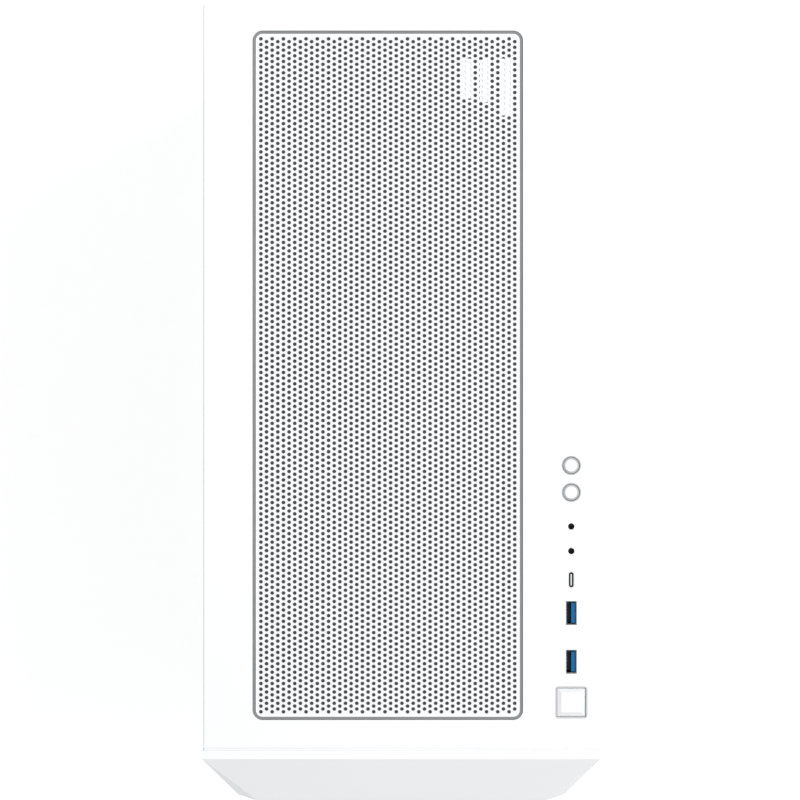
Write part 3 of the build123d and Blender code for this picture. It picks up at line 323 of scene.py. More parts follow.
class Shape:
    """Collects solids in one mesh; each solid gets the material index that is current."""

    def __init__(self):
        self.mesh = bmesh.new()
        self.material = 0

    def take(self, verts, faces):
        made = [self.mesh.verts.new(v) for v in verts]
        out = []
        for face in faces:
            new = self.mesh.faces.new([made[i] for i in face])
            new.material_index = self.material
            out.append(new)
        return out

    def bevel(self, faces, width, segments=2):
        edges = {e for f in faces for e in f.edges if e.calc_face_angle(0) > 0.5}
        made = bmesh.ops.bevel(
            self.mesh, geom=list(edges), offset=width, segments=segments, affect="EDGES", profile=0.5
        )
        for face in made["faces"]:
            face.material_index = self.material

    def box(self, low, high, bevel=0.0):
        x, y, z = zip(low, high)
        corners = [(x[i], y[j], z[k]) for i in (0, 1) for j in (0, 1) for k in (0, 1)]
        faces = [(0, 1, 3, 2), (4, 6, 7, 5), (0, 4, 5, 1), (2, 3, 7, 6), (0, 2, 6, 4), (1, 5, 7, 3)]
        made = self.take(corners, faces)
        if bevel:
            self.bevel(made, bevel)
        return self

    def prism(self, outline, low, high, axis, bevel=0.0):
        """Straight prism over a sketch outline, between two levels of an axis."""
        count = len(outline)
        verts = np.vstack([lift(outline, low, axis), lift(outline, high, axis)])
        faces = [tuple(range(count))[::-1], tuple(range(count, 2 * count))]
        made = self.take(verts, faces + walls(count))
        if bevel:
            self.bevel(made, bevel)
        return self

    def lathe(self, profile, centre, axis, sides=32):
        """Turn a profile of (radius, level) points about an axis through the centre."""
        u, v, w = AXES[axis]
        verts, faces, rings = [], [], []
        for radius, level in profile:
            ring = []
            steps = range(sides) if radius > 1e-7 else (0,)
            for k in steps:
                turn = 2 * math.pi * k / sides
                point = [0.0, 0.0, 0.0]
                point[u] = centre[u] + radius * math.cos(turn)
                point[v] = centre[v] + radius * math.sin(turn)
                point[w] = centre[w] + level
                ring.append(len(verts))
                verts.append(point)
            rings.append(ring)
        for first, second in zip(rings, rings[1:]):
            for k in range(sides):
                corners = [first[k % len(first)], first[(k + 1) % len(first)]]
                corners += [second[(k + 1) % len(second)], second[k % len(second)]]
                kept = list(dict.fromkeys(corners))
                if len(kept) > 2:
                    faces.append(tuple(kept))
        self.take(verts, faces)
        return self

    def tube(self, path, radius, sides=10, closed=False):
        """Round bar along a list of points."""
        points = [Vector(p) for p in path]
        verts, faces = [], []
        normal = None
        count = len(points)
        for i, point in enumerate(points):
            ahead = points[(i + 1) % count] if closed or i + 1 < count else point
            behind = points[i - 1] if closed or i else point
            along = (ahead - behind).normalized()
            if normal is None:
                normal = along.orthogonal().normalized()
            normal = (normal - along * normal.dot(along)).normalized()
            side = along.cross(normal)
            for k in range(sides):
                turn = 2 * math.pi * k / sides
                verts.append(point + (normal * math.cos(turn) + side * math.sin(turn)) * radius)
        last = count if closed else count - 1
        for i in range(last):
            for k in range(sides):
                a, b = i * sides, (i + 1) % count * sides
                faces.append((a + k, a + (k + 1) % sides, b + (k + 1) % sides, b + k))
        if not closed:
            faces.append(tuple(range(sides))[::-1])
            faces.append(tuple(range((count - 1) * sides, count * sides)))
        self.take(verts, faces)
        return self

    def plate(self, outline, holes, low, high, axis):
        """Flat plate with any number of holes, each hole a closed outline."""
        points, faces = layout(outline, holes)
        self.take(*thicken(points, faces, low, high, axis))
        return self

    def piece(self, name, materials, body, replaces=(), angle=35.0):
        bmesh.ops.recalc_face_normals(self.mesh, faces=self.mesh.faces)
        mesh = bpy.data.meshes.new(name)
        self.mesh.to_mesh(mesh)
        self.mesh.free()
        smooth(mesh, angle)
        return add_object(name, mesh, materials, body, replaces)


def circle(centre, radius, sides=24, start=0.0):
    """Outline of a circle or, with few sides, of a regular polygon."""
    step = 2 * math.pi / sides
    return [
        (centre[0] + radius * math.cos(start + k * step), centre[1] + radius * math.sin(start + k * step))
        for k in range(sides)
    ]


def rounded(low, high, radius, steps=5):
    """Outline of a rectangle with round corners."""
    out = []
    middles = [(high[0], high[1]), (low[0], high[1]), (low[0], low[1]), (high[0], low[1])]
    inward = [(-1, -1), (1, -1), (1, 1), (-1, 1)]
    for k, (corner, sign) in enumerate(zip(middles, inward)):
        x, y = corner[0] + sign[0] * radius, corner[1] + sign[1] * radius
        for i in range(steps + 1):
            turn = math.pi / 2 * (k + i / steps)
            out.append((x + radius * math.cos(turn), y + radius * math.sin(turn)))
    return out


def rectangle(low, high):
    return [(low[0], low[1]), (high[0], low[1]), (high[0], high[1]), (low[0], high[1])]


def grown(low, high, by, up=None):
    """Corners of a rectangle with its sides moved out, by one distance or by one across and one up."""
    up = by if up is None else up
    return (low[0] - by, low[1] - up), (high[0] + by, high[1] + up)


def seen_from_behind(box):
    """The corners of a box in x and z."""
    return [(corner.x, corner.z) for corner in box]


def walls(count):
    """Faces of the band between two rings of as many points."""
    return [(i, (i + 1) % count, (i + 1) % count + count, i + count) for i in range(count)]


def inside(outline, points):
    """Which of the points lie inside a closed outline."""
    polygon = np.asarray(outline)
    x, y = points[:, 0], points[:, 1]
    result = np.zeros(len(points), bool)
    for (x0, y0), (x1, y1) in zip(polygon, np.roll(polygon, -1, axis=0)):
        crosses = (y0 > y) != (y1 > y)
        with np.errstate(divide="ignore", invalid="ignore"):
            edge = (x1 - x0) * (y - y0) / (y1 - y0) + x0
        result ^= crosses & (x < edge)
    return result


def layout(outline, holes):
    """Triangles of a flat region with holes."""
    points, edges = [], []
    for loop in [outline, *holes]:
        first = len(points)
        points += [Vector((p[0] * 1000, p[1] * 1000)) for p in loop]
        edges += [(first + i, first + (i + 1) % len(loop)) for i in range(len(loop))]
    flat, _, faces, _, _, _ = delaunay_2d_cdt(points, edges, [], 0, 1e-5)
    flat = np.array([(v[0], v[1]) for v in flat]) / 1000
    faces = np.array([list(f) for f in faces if len(f) == 3])
    middles = flat[faces].mean(axis=1)
    keep = inside(outline, middles)
    for hole in holes:
        shape = np.asarray(hole)
        low, high = shape.min(axis=0), shape.max(axis=0)
        near = np.nonzero(((middles >= low) & (middles <= high)).all(axis=1))[0]
        if len(near):
            keep[near[inside(hole, middles[near])]] = False
    return flat, [tuple(int(i) for i in f) for f in faces[keep]]


def lattice(low, high, column_pitch, row_pitch):
    """Staggered grid of hole centres that fills a rectangle."""
    columns = int((high[0] - low[0]) / column_pitch)
    first_x = (low[0] + high[0] - (columns - 1) * column_pitch) / 2
    out = []
    for i in range(columns):
        shift = row_pitch / 2 * (i % 2)
        rows = int((high[1] - low[1] - shift) / row_pitch)
        first_y = (low[1] + high[1] - (int((high[1] - low[1]) / row_pitch) - 1) * row_pitch) / 2 + shift
        out += [(first_x + i * column_pitch, first_y + j * row_pitch) for j in range(rows)]
    return out


def cell_sheet(centres, cell, hole):
    """Flat layout of one cell with a hole round every centre; cells share their corners."""
    count = len(cell)
    centres = np.asarray(centres)
    loops = np.asarray(list(cell) + list(hole))
    points = (centres[:, None, :] + loops[None, :, :]).reshape(-1, 2)
    keys, place = np.unique(np.round(points * 2e6).astype(np.int64), axis=0, return_inverse=True)
    place = place.reshape(-1)
    merged = np.zeros((len(keys), 2))
    merged[place] = points
    faces = []
    for c in range(len(centres)):
        index = place[c * 2 * count:(c + 1) * 2 * count]
        for i in range(count):
            j = (i + 1) % count
            faces.append((int(index[i]), int(index[j]), int(index[count + j]), int(index[count + i])))
    return merged, faces

# ================================================================ finishes of the kept CAD nodes
BOX = {name: [Vector(corner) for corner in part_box(name)] for name in NODES}
FINISHES = {
    "jack_white_socket_shade": "audio_jacks",
    "black_moulded": "bottom_dust_filter",
    "white_coat": (
        "chassis_floor chassis_front chassis_top drive_cage glass_hinge_frame rear_screws "
        "steel_side_panel thumbscrews top_cover"
    ),
    "white_moulded": "feet front_bezel",
    "rubber": "foot_pads",
    "glass": "glass_panel",
    "board_black": "graphics_board motherboard",
    "bright_steel": "graphics_bracket hinge_pins panel_clips",
    "cast_aluminium": "hard_drives",
    "board_green": "io_board",
    "button_white_shaded_slopes": "led_button power_button reset_button",
    "white_inside": "motherboard_tray psu_shroud",
    "psu_coat": "power_supply",
    "copper_nickel": "processor",
    "black_gloss": "psu_switch",
    "brass": "standoffs",
    "port_plated_socket_shade": "usb_a_ports usb_c_port",
    "usb_blue": "usb_a_tongues",
}
EDGE_WIDTH = 0.35 * MM
SEAM_EDGE_WIDTH = {"top_cover": 0.65 * MM, "front_bezel": 0.65 * MM}


def finish_node(name, material):
    """Give a kept CAD node its material, and edges that catch the light."""
    kept = bpy.data.objects[name]
    kept.data.materials.clear()
    kept.data.materials.append(MATERIALS[material])
    weld = kept.modifiers.new("weld", "WELD")
    weld.merge_threshold = 0.005 * MM
    bevel = kept.modifiers.new("edges", "BEVEL")
    bevel.width = SEAM_EDGE_WIDTH.get(name, EDGE_WIDTH)
    bevel.segments = 2
    bevel.limit_method = "ANGLE"
    bevel.angle_limit = math.radians(30)
    kept.modifiers.new("normals", "WEIGHTED_NORMAL").weight = 80
    kept.data.shade_smooth()


for material_name, node_names in FINISHES.items():
    for node_name in node_names.split():
        finish_node(node_name, material_name)

# ================================================================ top dust filter
FILTER_COLUMN, FILTER_ROW = 3.186 * MM, 3.194 * MM
FILTER_HOLE = 1.07 * MM
FILTER_MARGIN_X, FILTER_MARGIN_Y = 1.2 * MM, 1.0 * MM
FILTER_STRIPS = 3


def cell_widths(column, row):
    """Half width of a cell of a staggered grid, at its flat ends and across its middle."""
    return [(column ** 2 + sign * row ** 2 / 4) / (2 * column) for sign in (-1, 1)]


def hex_cell(column, row):
    """Corners of the cell round one hole of a staggered grid, with the middle of each side."""
    near, far = cell_widths(column, row)
    corners = [(far, 0), (near, row / 2), (-near, row / 2), (-far, 0), (-near, -row / 2), (near, -row / 2)]
    out = []
    for (x0, y0), (x1, y1) in zip(corners, corners[1:] + corners[:1]):
        out += [(x0, y0), ((x0 + x1) / 2, (y0 + y1) / 2)]
    return out


def filter_sheet(low, high, levels):
    """Perforated sheet in strips; returns the corners of the box round its hole centres."""
    centres = sorted(lattice(low, high, FILTER_COLUMN, FILTER_ROW))
    cell = hex_cell(FILTER_COLUMN, FILTER_ROW)
    turns = np.arctan2(*np.asarray(cell).T[::-1])
    ring = [(FILTER_HOLE * math.cos(turn), FILTER_HOLE * math.sin(turn)) for turn in turns]
    share = math.ceil(len(centres) / FILTER_STRIPS)
    for k in range(FILTER_STRIPS):
        points, faces = cell_sheet(centres[k * share:(k + 1) * share], cell, ring)
        sheet = Shape()
        sheet.take(*thicken(points, faces, *levels, "Z"))
        replaced = ["top_dust_filter"] if k == 0 else ()
        sheet.piece(f"filter_mesh_{k + 1}", ["sheet_white"], "top_filter", replaced)
    return np.min(centres, axis=0), np.max(centres, axis=0)


low, high = BOX["top_dust_filter"]
sheet_low, sheet_high = high.z - 0.75 * MM, high.z - 0.05 * MM
first, last = filter_sheet(*grown(low, high, -FILTER_MARGIN_X, -FILTER_MARGIN_Y), (sheet_low, sheet_high))
rim = Shape()
edge = FILTER_HOLE + 0.28 * MM
opening = rectangle(first - edge, last + edge)
RIM_CORNER, RIM_WALL, RIM_THICKNESS = 3.7 * MM, 0.8 * MM, 1.0 * MM
rim_line = rounded(low[:2], high[:2], RIM_CORNER, 8)
rim_hollow = rounded(*grown(low, high, -RIM_WALL), RIM_CORNER - RIM_WALL, 8)
rim.plate(rim_line, [opening], high.z - RIM_THICKNESS, high.z, "Z")
rim.plate(rim_line, [rim_hollow], low.z, high.z - RIM_THICKNESS, "Z")
rim.piece("filter_rim", ["white_coat"], "top_filter")

# plain half cells that close the ends of the shorter columns
near, far = cell_widths(FILTER_COLUMN, FILTER_ROW)
ends = Shape()
short_columns = (round((last[0] - first[0]) / FILTER_COLUMN) + 1) // 2
for k in range(short_columns):
    x = first[0] + (2 * k + 1) * FILTER_COLUMN
    for y, way in ((first[1], -1), (last[1], 1)):
        tip = y + way * FILTER_ROW / 2
        ends.prism([(x - near, y), (x + near, y), (x + far, tip), (x - far, tip)], sheet_low, sheet_high, "Z")
ends.piece("filter_column_ends", ["sheet_white"], "top_filter")

# fine black net under the sheet, whose black also stands in for the shade inside the case below the holes
# (painted shade), and the white pads that hold it at the back right
NET_GAP, NET_THICKNESS = 0.35 * MM, 0.08 * MM
net_high = sheet_low - NET_GAP
net_line = grown(low, high, -0.9 * MM)
net = Shape()
net.box((*net_line[0], net_high - NET_THICKNESS), (*net_line[1], net_high))
net.piece("filter_net", ["net_black_and_shade"], "top_filter")
# inset from the right, width, start and end from the back
PADS = ((32.4, 5.4, 14.0, 36.4), (22.6, 5.6, 14.6, 38.4), (11.2, 7.2, 14.0, 46.0))
pads = Shape()
for inset, width, start, end in PADS:
    pads.box(
        (high.x - inset * MM, high.y - end * MM, net_high - 0.02 * MM),
        (high.x - (inset - width) * MM, high.y - start * MM, sheet_low + 0.01 * MM),
    )
pads.piece("filter_pads", ["white_moulded"], "top_filter")

# grey gasket in the gap round the filter, set a little low; its dark grey also stands in for the shade in the
# gap (painted shade)
GASKET_DROP, GASKET_WIDTH, GASKET_GAP = 0.5 * MM, 1.55 * MM, 0.12 * MM
gasket_line = rounded(*grown(low, high, GASKET_WIDTH), 4.2 * MM, 8)
gasket_hole = rounded(*grown(low, high, GASKET_GAP), 3.8 * MM, 8)
gasket = Shape()
gasket.plate(gasket_line, [gasket_hole], low.z + 0.02 * MM, high.z - GASKET_DROP, "Z")
gasket.piece("filter_gasket", ["gasket_grey_and_gap_shade"], "chassis")

# ground edge round the glass
low, high = BOX["glass_panel"]
GLASS_CHAMFER = 0.4 * MM
GROUND = 0.1 * MM
edge_strip = Shape()
for z0, z1 in ((low.z - GROUND, low.z), (high.z, high.z + GROUND)):
    edge_strip.box((low.x + GLASS_CHAMFER, low.y, z0), (high.x - GLASS_CHAMFER, high.y, z1))
for y0, y1 in ((low.y - GROUND, low.y), (high.y, high.y + GROUND)):
    edge_strip.box((low.x + GLASS_CHAMFER, y0, low.z), (high.x - GLASS_CHAMFER, y1, high.z))
edge_strip.piece("glass_ground_edge", ["ground_glass"], "glass_door")

# ================================================================ trims round the buttons; their satin grey also stands in for the shade in the gap round each button (painted shade)
# node, sides of its ring (four for a rounded square), width of a round ring, gap to the button
BUTTONS = (("power_button", 4, 0, 0.45), ("led_button", 48, 0.55, 0.3), ("reset_button", 48, 0.55, 0.3))
trims = Shape()
for node, sides, width, gap in BUTTONS:
    button_low, button_high = BOX[node]
    middle = ((button_low.x + button_high.x) / 2, (button_low.y + button_high.y) / 2)
    half = (button_high.x - button_low.x) / 2 + gap * MM
    if sides == 4:
        inner_edge = rounded(*grown(middle, middle, half), 0.8 * MM)
        outer_edge = rounded(*grown(middle, middle, half + 0.85 * MM), 1.7 * MM)
    else:
        inner_edge = circle(middle, half, sides)
        outer_edge = circle(middle, half + width * MM, sides)
    trims.plate(outer_edge, [inner_edge], button_high.z - 0.25 * MM, button_high.z, "Z")
# thin grey rings at the jacks' edges: painted shade where each jack meets the cover
jack_low, jack_high = BOX["audio_jacks"]
jack_x, jack_radius = (jack_low.x + jack_high.x) / 2, (jack_high.x - jack_low.x) / 2
for jack_y in (jack_low.y + jack_radius, jack_high.y - jack_radius):
    outer_edge, inner_edge = [circle((jack_x, jack_y), radius * MM, 48) for radius in (3.92, 3.76)]
    trims.plate(outer_edge, [inner_edge], jack_high.z - 0.3 * MM, jack_high.z, "Z")
trims.piece("button_trims", ["satin_grey"], "chassis")

# ================================================================ front mesh
MESH_PITCH = 3.7 * MM
MESH_HOLE = 1.45 * MM
MESH_EDGE = 1.2 * MM


def outline_from(node, axis, level):
    """Corner points of a CAD node's flat face at one level, in order round it."""
    u, v, w = AXES[axis]
    mesh = bpy.data.objects[node].data
    found = {(round(p.co[u], 6), round(p.co[v], 6)) for p in mesh.vertices if abs(p.co[w] - level) < 1e-5}
    middle = np.mean(list(found), axis=0)
    return sorted(found, key=lambda p: math.atan2(p[1] - middle[1], p[0] - middle[0]))


def shrink(outline, distance):
    """Convex outline with every side moved inwards."""
    count = len(outline)
    lines = []
    for i in range(count):
        a, b = Vector(outline[i]), Vector(outline[(i + 1) % count])
        along = (b - a).normalized()
        inward = Vector((-along.y, along.x))
        lines.append((a + inward * distance, along))
    out = []
    for i in range(count):
        (p, d), (q, e) = lines[i - 1], lines[i]
        t = ((q - p).x * e.y - (q - p).y * e.x) / (d.x * e.y - d.y * e.x)
        out.append(tuple(p + d * t))
    return out


low, high = BOX["front_mesh"]
outline = outline_from("front_mesh", "Y", low.y)
inner = shrink(outline, MESH_EDGE + MESH_HOLE)
row = MESH_PITCH * math.sqrt(3) / 2
hex_centres = lattice((low.x, low.z), (high.x, high.z), row, MESH_PITCH)
hex_centres = np.array(hex_centres)[inside(inner, np.array(hex_centres))]
corner = MESH_PITCH / math.sqrt(3)
hex_ring = circle((0, 0), corner, 6)
hole_ring = circle((0, 0), MESH_HOLE, 6)
middle = (low.z + high.z) / 2
is_lower = hex_centres[:, 1] < middle
for half, chosen, replaced in (("lower", is_lower, ["front_mesh"]), ("upper", ~is_lower, ())):
    points, faces = cell_sheet(hex_centres[chosen], hex_ring, hole_ring)
    shape = Shape()
    shape.take(*thicken(points, faces, low.y, high.y, "Y"))
    shape.piece(f"front_mesh_{half}", ["white_coat"], "front_panel", replaced)
shape = Shape()
shape.plate(outline, [shrink(outline, MESH_EDGE + 2.6 * MM)], high.y - 0.3 * MM, high.y + 0.5 * MM, "Y")
shape.piece("front_mesh_edge", ["white_coat"], "front_panel")

# ================================================================ fans
BLADES = 9
BLADE_PITCH = math.radians(38)
FRAME_WALL = 2.2 * MM


def fan_blade(shape, centre, axis, start, depth, hub, tip, angle, thick):
    """One swept blade: its chord twists flatter and leans forward towards the tip."""
    u, v, w = AXES[axis]
    rings, chords = 7, 8
    verts, faces = [], []
    for side in (0, 1):
        for i in range(rings):
            out = i / (rings - 1)
            radius = hub + (tip - hub) * out
            span = depth * (0.92 - 0.12 * out)
            pitch = BLADE_PITCH * (1 - 0.28 * out)
            for k in range(chords):
                along = k / (chords - 1) - 0.5
                level = start + depth / 2 + span * along + side * thick
                sweep = angle + 0.30 * out ** 2 + span * along / math.tan(pitch) / radius * 0.62
                sweep += 0.10 * (0.25 - along * along)
                point = [0.0, 0.0, 0.0]
                point[u] = centre[u] + radius * math.cos(sweep)
                point[v] = centre[v] + radius * math.sin(sweep)
                point[w] = level
                verts.append(point)
    count = rings * chords
    for i in range(rings - 1):
        for k in range(chords - 1):
            a = i * chords + k
            faces.append((a, a + 1, a + chords + 1, a + chords))
            faces.append((a + count, a + count + chords, a + count + chords + 1, a + count + 1))
    border = list(range(chords)) + [i * chords + chords - 1 for i in range(1, rings)]
    border += [(rings - 1) * chords + k for k in range(chords - 2, -1, -1)]
    border += [i * chords for i in range(rings - 2, 0, -1)]
    for a, b in zip(border, border[1:] + border[:1]):
        faces.append((b, a, a + count, b + count))
    shape.take(verts, faces)


def fan_rotor(name, node, axis, body, hub, blades=BLADES, face=1, reach=1.0):
    """Blades and a domed hub in the space of a rotor's CAD node."""
    low, high = BOX[node]
    u, v, w = AXES[axis]
    centre = list(next(j["pos_m"] for j in RECORD_JOINTS if j["name"] == SPIN[node]))
    tip = min(high[u] - centre[u], centre[u] - low[u], high[v] - centre[v], centre[v] - low[v])
    tip = min(max(tip, (high[u] - low[u]) / 2 * 0.97), reach)
    depth = high[w] - low[w]
    shape = Shape()
    near, far = (low[w], high[w]) if face < 0 else (high[w], low[w])
    step = (far - near) / 20
    profile = [(0, near + step), (hub * 0.55, near + step * 0.8), (hub * 0.86, near + step * 1.2)]
    profile += [(hub * 0.97, near + step * 2.2), (hub, near + step * 3.8), (hub, far - step)]
    profile += [(hub * 0.88, far - step), (hub * 0.88, near + step * 4), (0, near + step * 4)]
    middle = list(centre)
    middle[w] = 0
    shape.lathe(profile, middle, axis, 48)
    start, span = low[w] + depth * 0.06, depth * 0.84
    for k in range(blades):
        fan_blade(shape, centre, axis, start, span, hub * 0.98, tip, 2 * math.pi * k / blades, 1.1 * MM)
    shape.piece(name, ["black_moulded"], body, [node], 50)


def fan_frame(name, node):
    """Square frame across Y, with a round duct, four corner holes with pads, and a spider at the back."""
    low, high = BOX[node]
    axis = "Y"
    u, v, w = AXES[axis]
    size = high[u] - low[u]
    centre = [(low[i] + high[i]) / 2 for i in range(3)]
    middle = (centre[u], centre[v])
    duct = size / 2 - FRAME_WALL
    outline = rounded((low[u], low[v]), (high[u], high[v]), 6 * MM, 5)
    hole_at = size / 2 - 7.5 * MM
    spots = [(middle[0] + a * hole_at, middle[1] + b * hole_at) for a in (-1, 1) for b in (-1, 1)]
    holes = [circle(spot, 2.1 * MM, 16) for spot in spots]
    shape = Shape()
    flange = 3.6 * MM
    for bottom in (low[w], high[w] - flange):
        shape.plate(outline, [circle(middle, duct, 64), *holes], bottom, bottom + flange, axis)
    turned = list(centre)
    turned[w] = 0
    wall = [(duct, low[w] + flange), (duct, high[w] - flange), (duct + FRAME_WALL, high[w] - flange)]
    wall += [(duct + FRAME_WALL, low[w] + flange), (duct, low[w] + flange)]
    shape.lathe(wall, turned, axis, 64)
    hub, strut = 21 * MM, 3.4 * MM
    base = high[w] - strut
    ring = [(0, base), (hub, base), (hub, base + strut), (0, base + strut)]
    shape.lathe(ring, turned, axis, 48)
    for k in range(4):
        turn = math.pi / 4 + k * math.pi / 2
        along = Vector((math.cos(turn), math.sin(turn)))
        across = Vector((-along.y, along.x)) * 1.8 * MM
        start, end = Vector(middle) + along * hub * 0.9, Vector(middle) + along * (duct + 1 * MM)
        shape.prism([start - across, end - across, end + across, start + across], base, base + strut, axis)
    shape.piece(name, ["black_moulded"], "chassis", [node], 40)
    pads = Shape()
    for spot in spots:
        for bottom in (low[w], high[w] - 0.25 * MM):
            pad = circle(spot, 6.4 * MM, 20)
            pads.plate(pad, [circle(spot, 2.2 * MM, 16)], bottom, bottom + 0.25 * MM, axis)
    pads.piece(name + "_pads", ["rubber"], "chassis")


RECORD_JOINTS = frame["record"]["behaviour"]["joints"]
SPIN = {
    "front_fan_lower_rotor": "front_spin_lower", "front_fan_middle_rotor": "front_spin_middle",
    "front_fan_upper_rotor": "front_spin_upper", "rear_fan_rotor": "rear_spin",
    "cooler_fan_rotor": "cooler_spin", "graphics_fan_rear": "graphics_spin_rear",
    "graphics_fan_front": "graphics_spin_front", "psu_fan_rotor": "psu_spin",
}
HUB, CARD_HUB, CARD_FAN_REACH = 20 * MM, 16.5 * MM, 45.4 * MM
for level in ("lower", "middle", "upper"):
    fan_rotor(f"front_{level}_blades", f"front_fan_{level}_rotor", "Y", f"front_rotor_{level}", HUB, face=-1)
    fan_frame(f"front_{level}_fan", f"front_fan_{level}_frame")
for place in ("rear", "cooler"):
    fan_rotor(f"{place}_blades", f"{place}_fan_rotor", "Y", f"{place}_rotor", HUB, face=-1)
    fan_frame(f"{place}_fan", f"{place}_fan_frame")
for place in ("rear", "front"):
    node, body = f"graphics_fan_{place}", f"graphics_rotor_{place}"
    fan_rotor(f"graphics_{place}_blades", node, "Z", body, CARD_HUB, 11, -1, CARD_FAN_REACH)
fan_rotor("psu_blades", "psu_fan_rotor", "Z", "psu_rotor", HUB, 11, -1)

# ================================================================ rear panel
HEX_PITCH = 6.2 * MM
HEX_RADIUS = 3.05 * MM


def hex_field(low, high, keep=None, pitch=HEX_PITCH, radius=HEX_RADIUS):
    """Hexagonal holes over a rectangle, or over the part of it that a test keeps."""
    rows = pitch * math.sqrt(3) / 2
    centres = lattice(low, high, rows, pitch)
    if keep:
        centres = [c for c in centres if keep(c)]
    return [circle(c, radius, 6) for c in centres]


panel_low, panel_high = BOX["rear_panel"]
fan_low, fan_high = BOX["rear_fan_frame"]
fan_middle = ((fan_low.x + fan_high.x) / 2, (fan_low.z + fan_high.z) / 2)
fan_radius = (fan_high.x - fan_low.x) / 2 - 4 * MM
shield_low, shield_high = BOX["io_shield"]
cover_low, cover_high = BOX["slot_covers"]
psu_top = BOX["power_supply"][1].z
holes = hex_field(
    *grown(fan_middle, fan_middle, fan_radius),
    lambda c: 3 * MM < math.dist(c, fan_middle) < fan_radius - HEX_RADIUS,
)
VENT_EDGE = 14 * MM
vent_right = cover_low.x - 6 * MM
holes += hex_field((panel_low.x + VENT_EDGE, psu_top + VENT_EDGE), (vent_right, fan_low.z - VENT_EDGE))
shield_line = rectangle(*seen_from_behind(BOX["io_shield"]))
holes.append(shield_line)
SLOT_PITCH, SLOT_MIDDLE = 20.32 * MM, 19.4 * MM
SLOT_HALF_LENGTH, SLOT_HALF_HEIGHT = 52.5 * MM, 7.25 * MM
SLOT_COVER_HALF = 9.2 * MM
slot_left, slot_right = SLOT_MIDDLE - SLOT_HALF_LENGTH, SLOT_MIDDLE + SLOT_HALF_LENGTH
slot_levels = [cover_high.z - SLOT_COVER_HALF - k * SLOT_PITCH for k in range(7)]
for level in slot_levels:
    holes.append(rectangle((slot_left, level - SLOT_HALF_HEIGHT), (slot_right, level + SLOT_HALF_HEIGHT)))
holes.append(rounded(*grown(*seen_from_behind(BOX["power_supply"]), -4 * MM), 2 * MM, 3))
for level in (panel_low.z + 66.0 * MM, panel_low.z + 260.0 * MM, panel_high.z - 22.0 * MM):
    holes.append(circle((panel_low.x + 7.0 * MM, level), 1.8 * MM, 16))

# the screws' middles, from the corners of their heads
screw_mesh = bpy.data.objects["rear_screws"].data
screw_level = BOX["rear_screws"][1].y
groups = []
for point in [(p.co.x, p.co.z) for p in screw_mesh.vertices if abs(p.co.y - screw_level) < 1e-5]:
    group = next((g for g in groups if math.dist(g[0], point) < 9 * MM), None)
    if group:
        group.append(point)
    else:
        groups.append([point])
SCREWS = [(sum(p[0] for p in g) / len(g), sum(p[1] for p in g) / len(g)) for g in groups]
SCREW_CLEARANCE = 5.5 * MM


def clear_of_screws(hole):
    """Whether a six-sided vent hole leaves the metal round every screw whole."""
    middle = np.mean(hole, axis=0)
    return len(hole) != 6 or all(math.dist(screw, middle) > SCREW_CLEARANCE for screw in SCREWS)


holes = [hole for hole in holes if clear_of_screws(hole)]
skin = Shape()
skin.plate(rectangle(*seen_from_behind(BOX["rear_panel"])), holes, panel_low.y, panel_high.y, "Y")
skin.piece("rear_skin", ["white_coat"], "chassis", ["rear_panel"])

# cross-head screws at the back
CROSS, CROSS_HALF = 2.0 * MM, 0.35 * MM
HEAD, HEAD_TOP = 3.0 * MM, 3.0 * MM * 0.82
CROSS_DEPTH = 0.6 * MM
screws = Shape()
for x, z in SCREWS:
    cross = []
    for k in range(4):
        out = (math.cos(k * math.pi / 2), math.sin(k * math.pi / 2))
        side = (-out[1], out[0])
        for a, b in ((CROSS, -CROSS_HALF), (CROSS, CROSS_HALF), (CROSS_HALF, CROSS_HALF)):
            cross.append((x + out[0] * a + side[0] * b, z + out[1] * a + side[1] * b))
    top_line = circle((x, z), HEAD_TOP, 28)
    screws.plate(top_line, [cross], screw_level - CROSS_DEPTH, screw_level, "Y")
    profile = [(HEAD_TOP, screw_level), (HEAD, screw_level - 0.7 * MM)]
    screws.lathe([*profile, (HEAD, panel_high.y), (0, panel_high.y)], (x, 0, z), "Y", 28)
    screws.prism(top_line, screw_level - 0.9 * MM, screw_level - CROSS_DEPTH, "Y")
screws.piece("rear_screw_heads", ["white_coat"], "chassis", ["rear_screws"])

# slot covers with a field of vents, left out where the graphics card's bracket is
CARD_SLOTS = (1, 2)
covers = Shape()
for level in [level for k, level in enumerate(slot_levels) if k not in CARD_SLOTS]:
    vent_box = grown((slot_left, level), (slot_right, level), -3 * MM, 6.2 * MM)
    vents = hex_field(*vent_box, None, 4.2 * MM, 1.9 * MM)
    near = [screw for screw in SCREWS if abs(screw[1] - level) < 3 * MM and screw[0] < slot_left]
    vents += [circle(screw, 1.58 * MM, 16) for screw in near]
    cover_box = (cover_low.x, level - SLOT_COVER_HALF), (cover_high.x, level + SLOT_COVER_HALF)
    covers.plate(rounded(*cover_box, 1.5 * MM, 3), vents, cover_low.y, cover_high.y, "Y")
covers.piece("vented_slot_covers", ["white_coat"], "chassis", ["slot_covers"])

# ================================================================ sockets with real cavities
def socket_block(shape, outline, cavities, face, back, depth, axis, inner):
    """Solid block whose face has cavities; the cavity walls take the inner material index."""
    outer = shape.material
    points, faces = layout(outline, cavities)
    shape.take(lift(points, face, axis), faces)
    count = len(outline)
    ring = np.vstack([lift(outline, face, axis), lift(outline, back, axis)])
    shape.take(ring, [*walls(count), tuple(range(count, 2 * count))])
    shape.material = inner
    floor_at = face + math.copysign(depth, back - face)
    for cavity in cavities:
        count = len(cavity)
        ring = np.vstack([lift(cavity, face, axis), lift(cavity, floor_at, axis)])
        shape.take(ring, [*walls(count), tuple(range(count, 2 * count))])
    shape.material = outer


port_low, port_high = BOX["rear_io_ports"]
face = port_high.y
